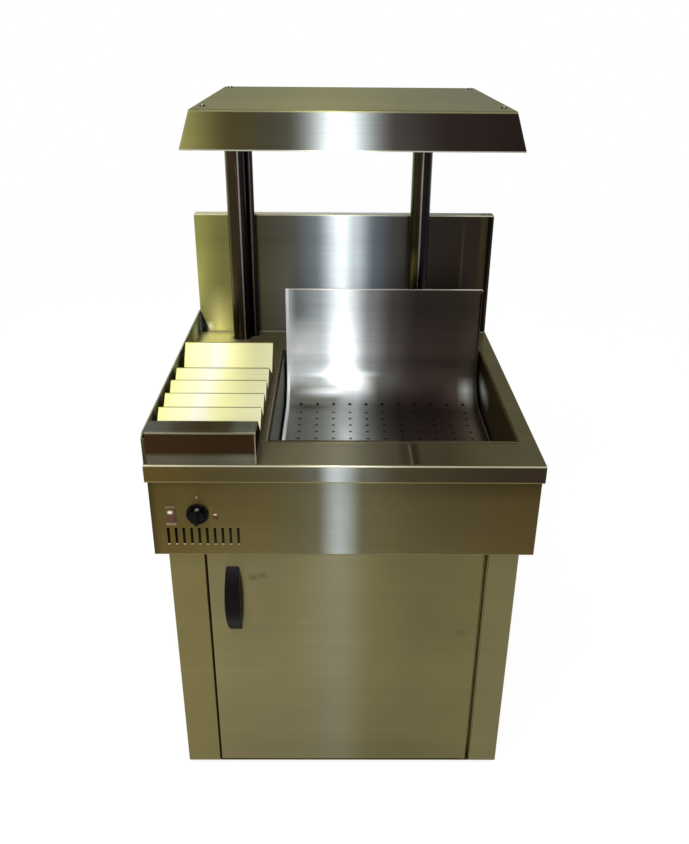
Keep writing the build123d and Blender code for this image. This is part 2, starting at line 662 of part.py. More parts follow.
with BuildPart() as well_liner:
    with BuildSketch(Plane.XY.offset(WELL_FLOOR - SHEET)):
        with Locations((WELL_X, WELL_Y)):
            RectangleRounded(WELL_W + 2 * SHEET, WELL_D + 2 * SHEET, WELL_CORNER + SHEET)
    extrude(amount=WELL_DEPTH + 2 * SHEET)
    with BuildSketch(Plane.XY.offset(TOP_H)):
        with Locations((WELL_X, WELL_Y)):
            RectangleRounded(WELL_W + 2 * RIM, WELL_D + 2 * RIM, RIM_CORNER)
    extrude(amount=SHEET)
    with BuildSketch(Plane.XY.offset(WELL_FLOOR)):
        with Locations((WELL_X, WELL_Y)):
            RectangleRounded(WELL_W, WELL_D, WELL_CORNER)
    extrude(amount=WELL_DEPTH + SHEET, mode=Mode.SUBTRACT)
    with BuildSketch(Plane.XY.offset(WELL_FLOOR)):
        with Locations(*STUD_SPOTS):
            Circle(STUD_R + HOLE_FIT)
    extrude(amount=-SHEET, mode=Mode.SUBTRACT)


def rest(sign, side):
    """A channel from the floor of the well up to the underside of the scoop."""
    x = WELL_X + sign * (ELEMENT_HALF + ELEMENT_R + SUPPORT_FOOT + REST_GAP + REST_FOOT)
    top = SCOOP_UNDER - SEAT
    outline = [
        (x - sign * REST_FOOT, WELL_FLOOR),
        (x, WELL_FLOOR),
        (x, top),
        (x - sign * REST_FOOT, top),
    ]
    return folded(Plane.XZ.offset(-WELL_Y - REST_L / 2), outline, REST_L, side=side)


with BuildPart() as scoop_rests:
    add(rest(-1, Side.RIGHT))
    add(rest(1, Side.LEFT))

# The element runs to and fro across the floor of the well, with a stud at each end.
LEG_XS = [WELL_X + (i - (ELEMENT_LEGS - 1) / 2) * ELEMENT_PITCH for i in range(ELEMENT_LEGS)]
ELEMENT_REAR = WELL_Y + ELEMENT_L / 2
ELEMENT_FRONT = WELL_Y - ELEMENT_L / 2
element_route = []
for i, x in enumerate(LEG_XS):
    ends = [(x, ELEMENT_REAR), (x, ELEMENT_FRONT)]
    element_route += ends if i % 2 == 0 else ends[::-1]

with BuildPart() as heating_element:
    with BuildLine(Plane.XY.offset(WELL_FLOOR + ELEMENT_LIFT)) as element_line:
        FilletPolyline(*element_route, radius=ELEMENT_BEND)
    with BuildSketch(Plane(origin=element_line.line @ 0, z_dir=element_line.line % 0)):
        Circle(ELEMENT_R)
    sweep()
    with BuildSketch(Plane.XY.offset(WELL_FLOOR - STUD_DROP)):
        with Locations(*STUD_SPOTS):
            Circle(STUD_R)
    extrude(amount=STUD_DROP + ELEMENT_LIFT + ELEMENT_R + SHEET)

with BuildPart() as element_supports:
    top = WELL_FLOOR + ELEMENT_LIFT - ELEMENT_R - SEAT - SHEET
    x0 = LEG_XS[0] - ELEMENT_R
    x1 = LEG_XS[-1] + ELEMENT_R
    for s in (-1, 1):
        outline = [
            (x0 - SUPPORT_FOOT, WELL_FLOOR),
            (x0, WELL_FLOOR),
            (x0, top),
            (x1, top),
            (x1, WELL_FLOOR),
            (x1 + SUPPORT_FOOT, WELL_FLOOR),
        ]
        middle = -WELL_Y - s * SUPPORT_PITCH / 2 - SUPPORT_W / 2
        add(folded(Plane.XZ.offset(middle), outline, SUPPORT_W, side=Side.LEFT))

# ---------------------------------------------------------------- chip scoop
# One sheet: the perforated floor turns up in a large bend into the tall back, which ends
# in a folded hem. Narrow flanges run along both sides, round the bend.
scoop_outline = [(SCOOP_FRONT, SCOOP_UNDER), (SCOOP_REAR, SCOOP_UNDER), (SCOOP_REAR, SCOOP_TOP)]
scoop_hem = [
    (SCOOP_REAR - SCOOP_HEM_D, SCOOP_TOP),
    (SCOOP_REAR - SCOOP_HEM_D, SCOOP_TOP - SCOOP_HEM_H),
]
SCOOP_LEFT = WELL_X - SCOOP_W / 2
scoop_radius = SCOOP_BEND + SHEET

# The row of holes in the bend is drilled outwards from the axis of the bend.
bend_turn = HOLE_PITCH_Y / (SCOOP_BEND + SHEET / 2)
bend_row = Plane(
    origin=(0, BEND_START, SCOOP_FLOOR + SCOOP_BEND),
    x_dir=(1, 0, 0),
    z_dir=(0, math.sin(bend_turn), -math.cos(bend_turn)),
)

with BuildPart() as chip_scoop:
    add(
        folded(
            Plane.YZ.offset(SCOOP_LEFT),
            scoop_outline + scoop_hem,
            SCOOP_W,
            radii=[scoop_radius, HEM_R, HEM_R],
            side=Side.LEFT,
        )
    )
    for x in (SCOOP_LEFT, SCOOP_LEFT + SCOOP_W - SHEET):
        with BuildSketch(Plane.YZ.offset(x)):
            with BuildLine():
                FilletPolyline(*scoop_outline, radius=scoop_radius)
                offset(amount=SCOOP_FLANGE + SHEET, side=Side.LEFT)
            make_face()
        extrude(amount=SHEET)
    row_count = int((BEND_START - SCOOP_FRONT - HOLE_EDGE) / HOLE_PITCH_Y) + 1
    col_count = int((SCOOP_W - 2 * HOLE_EDGE) / HOLE_PITCH_X) + 1
    rows = [BEND_START - i * HOLE_PITCH_Y for i in range(row_count)]
    cols = [WELL_X + (i - (col_count - 1) / 2) * HOLE_PITCH_X for i in range(col_count)]
    with BuildSketch(Plane.XY.offset(SCOOP_UNDER)):
        with Locations(*[(x, y) for x in cols for y in rows]):
            Circle(HOLE_R)
    extrude(amount=SHEET, mode=Mode.SUBTRACT)
    with BuildSketch(bend_row):
        with Locations(*[(x, 0) for x in cols]):
            Circle(HOLE_R)
    extrude(amount=scoop_radius + SHEET, mode=Mode.SUBTRACT)

# ---------------------------------------------------------------- carton rack
WALL_TOP = TOP_H + RACK_WALL_H
wall_outline = [
    (RACK_LEFT + RACK_RETURN, RACK_Y),
    (RACK_LEFT, RACK_Y),
    (RACK_LEFT, UPSTAND_Y),
]

with BuildPart() as rack_side_wall:
    add(folded(Plane.XY.offset(TOP_H), wall_outline, RACK_WALL_H))
    with BuildSketch(Plane.XY.offset(WALL_TOP - RACK_HEM_H)):
        slab(RACK_LEFT, RACK_LEFT + 2 * SHEET, RACK_Y + FOLD, UPSTAND_Y)
    extrude(amount=RACK_HEM_H)
    with BuildSketch(Plane.YZ.offset(RACK_LEFT)):
        with BuildLine():
            Polyline(
                (RACK_Y, WALL_TOP),
                (RACK_Y, WALL_TOP - RACK_NOTCH_Z),
                (RACK_Y + RACK_NOTCH_Y, WALL_TOP),
                close=True,
            )
        make_face()
    extrude(amount=RACK_RETURN, mode=Mode.SUBTRACT)

BOX_LEFT = RACK_LEFT + RACK_RETURN + BOX_LEFT_GAP
BOX_TOP = TOP_H + BOX_H
BOX_REAR = RACK_Y + BOX_TOP_D
VALLEYS = [FRONT + TOOTH_FIRST - TOOTH_RUN + i * TOOTH_PITCH for i in range(TOOTH_COUNT)]
CRESTS = [FRONT + TOOTH_FIRST + i * TOOTH_PITCH for i in range(TOOTH_COUNT)]
BOX_SLOPE_END = (VALLEYS[0] - TOOTH_R, TOP_H + TOOTH_VALLEY + TOOTH_R)
box_outline = [
    (RACK_Y, TOP_H),
    (RACK_Y, BOX_TOP),
    (BOX_REAR, BOX_TOP + BOX_TOP_RISE),
    BOX_SLOPE_END,
]

with BuildPart() as rack_front_box:
    add(folded(Plane.YZ.offset(BOX_LEFT), box_outline, RACK_RIGHT - BOX_LEFT))
    for x in (BOX_LEFT, RACK_RIGHT - SHEET):
        with BuildSketch(Plane.YZ.offset(x)):
            with BuildLine():
                FilletPolyline(*box_outline, radius=FOLD)
                Polyline(BOX_SLOPE_END, (BOX_SLOPE_END[0], TOP_H), (RACK_Y, TOP_H))
            make_face()
        extrude(amount=SHEET)

# The stepped dividers: one sheet folded to and fro into leaning faces that cartons and
# bags stand against, with a tall last face, and a cheek at each end down to the worktop.
teeth = []
for valley, crest in zip(VALLEYS, CRESTS):
    teeth.append((valley, TOP_H + TOOTH_VALLEY))
    teeth.append((crest, TOP_H + TOOTH_CREST))
teeth.append((FRONT + LAST_VALLEY_Y, TOP_H + LAST_VALLEY_Z))
teeth.append((FRONT + LAST_CREST_Y, TOP_H + LAST_CREST_Z))
teeth.append((FRONT + LAST_CREST_Y, TOP_H))
DIVIDER_LEFT = RACK_LEFT + SHEET + DIVIDER_GAP

with BuildPart() as rack_dividers:
    add(folded(Plane.YZ.offset(DIVIDER_LEFT), teeth, RACK_RIGHT - DIVIDER_LEFT, radii=TOOTH_R))
    for x in (DIVIDER_LEFT, RACK_RIGHT - SHEET):
        with BuildSketch(Plane.YZ.offset(x)):
            with BuildLine():
                FilletPolyline(*teeth, radius=TOOTH_R)
                Polyline(teeth[-1], (teeth[0][0], TOP_H), teeth[0])
            make_face()
        extrude(amount=SHEET)

# ---------------------------------------------------------------- posts
def post(x):
    """A round tube through the worktop up to the bar inside the hood."""
    with BuildPart() as piece:
        with BuildSketch(Plane.XY.offset(TOP_H - POST_SINK)):
            with Locations((x, POST_Y)):
                Circle(POST_R)
                Circle(POST_R - POST_WALL, mode=Mode.SUBTRACT)
        extrude(amount=POST_TOP - TOP_H + POST_SINK)
    return piece


def socket(x):
    """A flanged sleeve under the worktop that holds the foot of a post."""
    with BuildPart() as piece:
        with BuildSketch(Plane.XY.offset(TOP_UNDER - SOCKET_PLATE_T)):
            with Locations((x, POST_Y)):
                RectangleRounded(SOCKET_PLATE, SOCKET_PLATE, FOLD)
                Circle(POST_R + SHAFT_FIT, mode=Mode.SUBTRACT)
            with Locations(CONDUIT):
                Circle(CONDUIT_R + HOLE_FIT, mode=Mode.SUBTRACT)
        extrude(amount=SOCKET_PLATE_T)
        with BuildSketch(Plane.XY.offset(TOP_H - POST_SINK)):
            with Locations((x, POST_Y)):
                Circle(SOCKET_R)
                Circle(POST_R + SHAFT_FIT, mode=Mode.SUBTRACT)
            with Locations(CONDUIT):
                Circle(CONDUIT_R + HOLE_FIT, mode=Mode.SUBTRACT)
        extrude(amount=POST_SINK - SHEET - SOCKET_PLATE_T)
    return piece


post_left = post(POST_LEFT_X)
post_right = post(POST_RIGHT_X)
post_socket_left = socket(POST_LEFT_X)
post_socket_right = socket(POST_RIGHT_X)

with BuildPart() as wiring_conduit:
    with BuildSketch(Plane.XY.offset(TOP_H - POST_SINK)):
        with Locations(CONDUIT):
            Circle(CONDUIT_R)
            Circle(CONDUIT_R - POST_WALL, mode=Mode.SUBTRACT)
    extrude(amount=POST_TOP - TOP_H + POST_SINK)

# ---------------------------------------------------------------- hood
lean = math.degrees(math.atan2(HOOD_TAPER, HOOD_H))
HOOD_SCREWS = [(x, y) for x in (ARM_LEFT_X, ARM_RIGHT_X) for y in HOOD_SCREW_YS]

with BuildPart() as hood_shell:
    with BuildSketch(Plane.XY.offset(HOOD_Z)):
        with Locations((HOOD_X, HOOD_Y)):
            Rectangle(HOOD_W, HOOD_D)
    extrude(amount=HOOD_H, taper=lean)
    fillet(hood_shell.edges().group_by(Axis.Z)[1:], HOOD_R)
    offset(amount=-SHEET, openings=hood_shell.faces().sort_by(Axis.Z)[0])
    with BuildSketch(Plane.XY.offset(HOOD_Z)):
        with Locations((HOOD_X, HOOD_Y)):
            Rectangle(HOOD_W - SHEET, HOOD_D - SHEET)
            Rectangle(HOOD_W - 2 * HOOD_LIP, HOOD_D - 2 * HOOD_LIP, mode=Mode.SUBTRACT)
    extrude(amount=SHEET)
    with BuildSketch(Plane.XY.offset(HOOD_TOP)):
        with Locations(*HOOD_SCREWS):
            Circle(HOOD_SCREW_R + HOLE_FIT)
    extrude(amount=-2 * SHEET, mode=Mode.SUBTRACT)


def hood_arm(x, sign, side):
    """An angle under the flat top of the hood, from the rear bar to the front screws."""
    rear = FLAT_REAR - 2 * FOLD
    front = FLAT_FRONT + ARM_FRONT_INSET
    outline = [
        (x - sign * ARM_LEG / 2, ARM_UNDER),
        (x - sign * ARM_LEG / 2, HOOD_UNDER),
        (x + sign * ARM_LEG / 2, HOOD_UNDER),
    ]
    with BuildPart() as piece:
        add(folded(Plane.XZ.offset(-rear), outline, rear - front, side=side))
        with BuildSketch(Plane.XY.offset(HOOD_UNDER)):
            with Locations(*[(x, y) for y in HOOD_SCREW_YS]):
                Circle(HOOD_SCREW_R + SHAFT_FIT)
        extrude(amount=-2 * SHEET, mode=Mode.SUBTRACT)
    return piece


hood_arm_left = hood_arm(ARM_LEFT_X, -1, Side.LEFT)
hood_arm_right = hood_arm(ARM_RIGHT_X, 1, Side.RIGHT)

# The rear bar lies on the posts, with a spigot down into each tube, and carries the arms.
with BuildPart() as hood_rear_bar:
    with BuildSketch(Plane.XY.offset(POST_TOP)):
        slab(ARM_LEFT_X - ARM_LEG, ARM_RIGHT_X + ARM_LEG, POST_Y - POST_R, POST_Y + POST_R)
        with Locations(CONDUIT):
            Circle(CONDUIT_R - POST_WALL, mode=Mode.SUBTRACT)
    extrude(amount=BAR_T)
    with BuildSketch(Plane.XY.offset(POST_TOP)):
        with Locations(*POSTS):
            Circle(POST_R - POST_WALL - SHAFT_FIT)
    extrude(amount=-POST_R)

with BuildPart() as reflector:
    with BuildSketch(Plane.XY.offset(ARM_UNDER - REFLECTOR_H)):
        with Locations((HOOD_X, HOOD_Y)):
            Rectangle(REFLECTOR_W + 2 * REFLECTOR_TAPER, REFLECTOR_D)
    extrude(amount=REFLECTOR_H, taper=math.degrees(math.atan2(REFLECTOR_TAPER, REFLECTOR_H)))
    offset(amount=-SHEET, openings=reflector.faces().sort_by(Axis.Z)[0])

LAMP_Z = ARM_UNDER - SHEET - LAMP_DROP
LAMP_YS = (HOOD_Y - LAMP_SPACING / 2, HOOD_Y + LAMP_SPACING / 2)
with BuildPart() as lamp_holders:
    for y in LAMP_YS:
        for s in (-1, 1):
            x = HOOD_X + s * (LAMP_L / 2 + HOLDER_L / 2 - LAMP_GRIP)
            with BuildSketch(Plane.XY.offset(LAMP_Z - HOLDER_W / 2)):
                with Locations((x, y)):
                    Rectangle(HOLDER_L, HOLDER_W)
            extrude(amount=HOLDER_W / 2 + LAMP_DROP)
        with BuildSketch(Plane.YZ.offset(HOOD_X - LAMP_L / 2)):
            with Locations((y, LAMP_Z)):
                Circle(LAMP_R + SHAFT_FIT)
        extrude(amount=LAMP_L, mode=Mode.SUBTRACT)

with BuildPart() as heat_lamps:
    with BuildSketch(Plane.YZ.offset(HOOD_X - LAMP_L / 2)):
        with Locations(*[(y, LAMP_Z) for y in LAMP_YS]):
            Circle(LAMP_R)
    extrude(amount=LAMP_L)

with BuildPart() as hood_screws:
    with BuildSketch(Plane.XY.offset(HOOD_UNDER - 2 * SHEET)):
        with Locations(*HOOD_SCREWS):
            Circle(HOOD_SCREW_R)
    extrude(amount=3 * SHEET)
    with BuildSketch(Plane.XY.offset(HOOD_TOP)):
        with Locations(*HOOD_SCREWS):
            Circle(DOME_R)
    extrude(amount=DOME_H)
    fillet(hood_screws.edges().group_by(Axis.Z)[-1], DOME_H - SHEET / 2)

# ---------------------------------------------------------------- controls
KNOB_BACK = APRON_FRONT - KNOB_CLEAR
with BuildPart() as control_knob:
    with BuildSketch(Plane.XZ.offset(-KNOB_BACK)):
        with Locations((KNOB_X, KNOB_Z)):
            Circle(KNOB_R)
    extrude(amount=SKIRT_T)
    fillet(control_knob.faces().sort_by(Axis.Y)[0].edges(), SHEET)
    with BuildSketch(Plane.XZ.offset(-KNOB_BACK + SKIRT_T)):
        with Locations((KNOB_X, KNOB_Z)):
            Circle(CROWN_R)
    extrude(amount=CROWN_T, taper=math.degrees(math.atan2(SHEET, CROWN_T)))
    with BuildSketch(Plane.XZ.offset(-KNOB_BACK + SKIRT_T + CROWN_T)):
        with Locations((KNOB_X, KNOB_Z)):
            SlotOverall(2 * (CROWN_R - SHEET), GRIP_W, rotation=90)
    extrude(amount=GRIP_T)
    fillet(control_knob.faces().sort_by(Axis.Y)[0].edges(), SHEET)
    with BuildSketch(Plane.XZ.offset(-KNOB_BACK)):
        with Locations((KNOB_X, KNOB_Z)):
            Circle(SHAFT_R + SHAFT_FIT)
    extrude(amount=SHAFT_L, mode=Mode.SUBTRACT)

with BuildPart() as regulator:
    with BuildSketch(Plane.XZ.offset(-FASCIA_IN)):
        with Locations((KNOB_X, KNOB_Z)):
            RectangleRounded(REG_W, REG_H, FOLD)
    extrude(amount=-REG_D)
    with BuildSketch(Plane.XZ.offset(-FASCIA_IN)):
        with Locations((KNOB_X, KNOB_Z)):
            Circle(SHAFT_R)
    extrude(amount=SHEET + KNOB_CLEAR + SHAFT_L - SEAT)

AXIS_Y = APRON_FRONT + ROCKER_AXIS
POCKET_W = PADDLE_W + 2 * PADDLE_SIDE_GAP
POCKET_H = PADDLE_H + 2 * PADDLE_GAP
with BuildPart() as rocker_bezel:
    with BuildSketch(Plane.XZ.offset(-APRON_FRONT)):
        with Locations((ROCKER_X, ROCKER_Z)):
            RectangleRounded(BEZEL_W, BEZEL_H, SHEET)
    extrude(amount=BEZEL_T)
    with BuildSketch(Plane.XZ.offset(-APRON_FRONT)):
        with Locations((ROCKER_X, ROCKER_Z)):
            Rectangle(BEZEL_W - BEZEL_WALL - SEAT, BEZEL_H - 2 * BEZEL_WALL - SEAT)
    extrude(amount=-BEZEL_D)
    with BuildSketch(Plane.XZ.offset(-APRON_FRONT + BEZEL_T)):
        with Locations((ROCKER_X, ROCKER_Z)):
            Rectangle(POCKET_W, POCKET_H)
    extrude(amount=-BEZEL_D + BEZEL_WALL, mode=Mode.SUBTRACT)
    with BuildSketch(Plane.YZ.offset(ROCKER_X - BEZEL_W / 2)):
        with Locations((AXIS_Y, ROCKER_Z)):
            Circle(ROCKER_PIN_R + SHAFT_FIT)
    extrude(amount=BEZEL_W, mode=Mode.SUBTRACT)

# The rocker is a shallow V in side view, drawn about its own axis and tipped to its rest.
tilt = math.radians(ROCKER_TILT)
rocker_plane = Plane(
    origin=(ROCKER_X - PADDLE_W / 2, AXIS_Y, ROCKER_Z),
    x_dir=(0, math.cos(tilt), -math.sin(tilt)),
    z_dir=(1, 0, 0),
)
paddle_front = -ROCKER_AXIS - BEZEL_T - PADDLE_PROUD
paddle_end = PADDLE_H / 2

with BuildPart() as rocker:
    with BuildSketch(rocker_plane):
        with BuildLine():
            Polyline(
                (0, -paddle_end),
                (paddle_front, SHEET / 2 - paddle_end),
                (paddle_front + PADDLE_DIP, 0),
                (paddle_front, paddle_end - SHEET / 2),
                (0, paddle_end),
            )
            ThreePointArc((0, paddle_end), (paddle_end / 2, 0), (0, -paddle_end))
        make_face()
        Circle(ROCKER_PIN_R + SHAFT_FIT, mode=Mode.SUBTRACT)
    extrude(amount=PADDLE_W)

with BuildPart() as rocker_pin:
    with BuildSketch(Plane.YZ.offset(ROCKER_X - BEZEL_W / 2 + BEZEL_WALL / 2)):
        with Locations((AXIS_Y, ROCKER_Z)):
            Circle(ROCKER_PIN_R)
    extrude(amount=BEZEL_W - BEZEL_WALL)

with BuildPart() as pilot_light:
    with BuildSketch(Plane.XZ.offset(-APRON_FRONT)):
        with Locations((PILOT_X, PILOT_Z)):
            Circle(PILOT_R)
    extrude(amount=PILOT_PROUD)
    fillet(pilot_light.faces().sort_by(Axis.Y)[0].edges(), SHEET / 2)
    with BuildSketch(Plane.XZ.offset(-APRON_FRONT)):
        with Locations((PILOT_X, PILOT_Z)):
            Circle(PILOT_LENS_R)
    extrude(amount=-PILOT_D)
    with BuildSketch(Plane.XZ.offset(-APRON_FRONT + PILOT_PROUD)):
        with Locations((PILOT_X, PILOT_Z)):
            Circle(PILOT_LENS_R - SHEET / 2 + SHAFT_FIT)
    extrude(amount=-PILOT_PROUD, mode=Mode.SUBTRACT)

with BuildPart() as pilot_lens:
    with BuildSketch(Plane.XZ.offset(-APRON_FRONT)):
        with Locations((PILOT_X, PILOT_Z)):
            Circle(PILOT_LENS_R - SHEET / 2)
    extrude(amount=2 * PILOT_PROUD)
    fillet(pilot_lens.faces().sort_by(Axis.Y)[0].edges(), PILOT_PROUD)

# ---------------------------------------------------------------- supply
with BuildPart() as terminal_box:
    with BuildSketch(Plane.XY.offset(APRON_Z + SHEET)):
        with Locations((BOX_X, BOX_Y)):
            RectangleRounded(BOX_W, BOX_D, BOX_R)
    extrude(amount=BOX_T)

with BuildPart() as cable_gland:
    with BuildSketch(Plane.XZ.offset(-APRON_REAR)):
        with Locations((GLAND_X, GLAND_Z)):
            RegularPolygon(GLAND_R, 6)
    extrude(amount=-GLAND_HEX)
    with BuildSketch(Plane.XZ.offset(-APRON_REAR)):
        with Locations((GLAND_X, GLAND_Z)):
            Circle(GLAND_DOME_R)
    extrude(amount=-GLAND_OUT)
    fillet(cable_gland.faces().sort_by(Axis.Y)[-1].edges(), FOLD)
    with BuildSketch(Plane.XZ.offset(-APRON_REAR)):
        with Locations((GLAND_X, GLAND_Z)):
            Circle(GLAND_THREAD_R)
    extrude(amount=GLAND_IN)
    with BuildSketch(Plane.XZ.offset(-APRON_REAR - GLAND_OUT)):
        with Locations((GLAND_X, GLAND_Z)):
            Circle(GLAND_BORE)
    extrude(amount=GLAND_OUT + GLAND_IN, mode=Mode.SUBTRACT)

# ---------------------------------------------------------------- export
save(side_panel_left, "side_panel_left")
save(side_panel_right, "side_panel_right")
save(cabinet_back, "cabinet_back")
save(cabinet_floor, "cabinet_floor")
save(top_rail, "top_rail")
save(levelling_feet, "levelling_feet")
save(door_outer, "door_outer")
save(door_inner, "door_inner")
save(hinge_pins, "hinge_pins")
save(hinge_bushes, "hinge_bushes")
save(door_handle, "door_handle")
save(handle_screws, "handle_screws")
save(door_catch, "door_catch")
save(catch_plate, "catch_plate")
save(control_fascia, "control_fascia")
save(housing_side_left, "housing_side_left")
save(housing_side_right, "housing_side_right")
save(housing_back, "housing_back")
save(housing_floor, "housing_floor")
save(worktop, "worktop")
save(splashback, "splashback")
save(well_liner, "well_liner")
save(scoop_rests, "scoop_rests")
save(heating_element, "heating_element")
save(element_supports, "element_supports")
save(chip_scoop, "chip_scoop")
save(rack_side_wall, "rack_side_wall")
save(rack_front_box, "rack_front_box")
save(rack_dividers, "rack_dividers")
save(post_left, "post_left")
save(post_right, "post_right")
save(post_socket_left, "post_socket_left")
save(post_socket_right, "post_socket_right")
save(wiring_conduit, "wiring_conduit")
save(hood_shell, "hood_shell")
save(hood_arm_left, "hood_arm_left")
save(hood_arm_right, "hood_arm_right")
save(hood_rear_bar, "hood_rear_bar")
save(reflector, "reflector")
save(lamp_holders, "lamp_holders")
save(heat_lamps, "heat_lamps")
save(hood_screws, "hood_screws")
save(control_knob, "control_knob")
save(regulator, "regulator")
save(rocker_bezel, "rocker_bezel")
save(rocker, "rocker")
save(rocker_pin, "rocker_pin")
save(pilot_light, "pilot_light")
save(pilot_lens, "pilot_lens")
save(terminal_box, "terminal_box")
save(cable_gland, "cable_gland")
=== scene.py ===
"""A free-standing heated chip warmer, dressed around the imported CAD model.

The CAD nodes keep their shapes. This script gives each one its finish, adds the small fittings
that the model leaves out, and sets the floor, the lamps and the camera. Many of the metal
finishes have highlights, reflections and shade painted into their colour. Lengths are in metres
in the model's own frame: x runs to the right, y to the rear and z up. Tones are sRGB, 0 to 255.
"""
import math

import bmesh
import bpy
from mathutils import Matrix, Vector


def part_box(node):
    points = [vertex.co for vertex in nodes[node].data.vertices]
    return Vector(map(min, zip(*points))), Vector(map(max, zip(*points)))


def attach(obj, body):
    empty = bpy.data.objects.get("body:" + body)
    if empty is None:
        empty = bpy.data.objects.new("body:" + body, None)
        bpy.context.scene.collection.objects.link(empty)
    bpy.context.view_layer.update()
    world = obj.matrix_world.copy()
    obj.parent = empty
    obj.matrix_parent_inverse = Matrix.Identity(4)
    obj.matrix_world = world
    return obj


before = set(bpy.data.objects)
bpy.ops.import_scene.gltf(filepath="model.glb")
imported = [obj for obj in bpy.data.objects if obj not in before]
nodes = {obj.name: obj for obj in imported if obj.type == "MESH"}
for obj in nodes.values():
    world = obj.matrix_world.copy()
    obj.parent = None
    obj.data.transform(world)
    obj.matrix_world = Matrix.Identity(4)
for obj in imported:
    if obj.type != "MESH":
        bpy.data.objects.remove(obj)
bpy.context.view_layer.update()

# ---------------------------------------------------------------- camera
IMAGE_W, IMAGE_H = 689, 844
FOCAL_PX = 833.9                # focal length and centre of the view, in the image's pixels
PRINCIPAL_PX = (343.6, 418.5)
SENSOR_MM = 36.0                # spans the image's longer side, which is its height
CAMERA_AT = (-0.0173, -1.8411, 1.6526)
PITCH, ROLL, YAW = math.radians(-25.73), math.radians(0.46), math.radians(-0.52)

camera = bpy.data.objects.new("camera", bpy.data.cameras.new("camera"))
bpy.context.scene.collection.objects.link(camera)
camera.data.sensor_width = SENSOR_MM
camera.data.lens = FOCAL_PX / IMAGE_H * SENSOR_MM
camera.data.shift_x = (IMAGE_W / 2 - PRINCIPAL_PX[0]) / IMAGE_H
camera.data.shift_y = (PRINCIPAL_PX[1] - IMAGE_H / 2) / IMAGE_H
camera.rotation_mode = "QUATERNION"
camera.rotation_quaternion = (
    Matrix.Rotation(YAW, 3, "Z")
    @ Matrix.Rotation(PITCH, 3, "X")
    @ Matrix.Rotation(-ROLL, 3, "Y")
    @ Matrix.Rotation(math.radians(90), 3, "X")
).to_quaternion()
camera.location = CAMERA_AT
bpy.context.scene.camera = camera
bpy.context.scene.view_settings.view_transform = "Standard"

X, Y, Z = 0, 1, 2       # the places of the axes in a point


# ---------------------------------------------------------------- node helpers
def linear(r, g, b):
    """An sRGB colour in 0..255 as the linear colour that a shader takes."""
    def one(v):
        v /= 255
        return v / 12.92 if v <= 0.04045 else ((v + 0.055) / 1.055) ** 2.4

    return (one(r), one(g), one(b))


HOLE_SHADE_REACH = 1.7         # radius of the painted shade round a hole, in radii of the hole
GRID_FADE = 0.002       # length over which the painted shade round a grid of holes ends
OFF_AXIS = 0.02         # lean of a tangent, so that it never stands square to a face


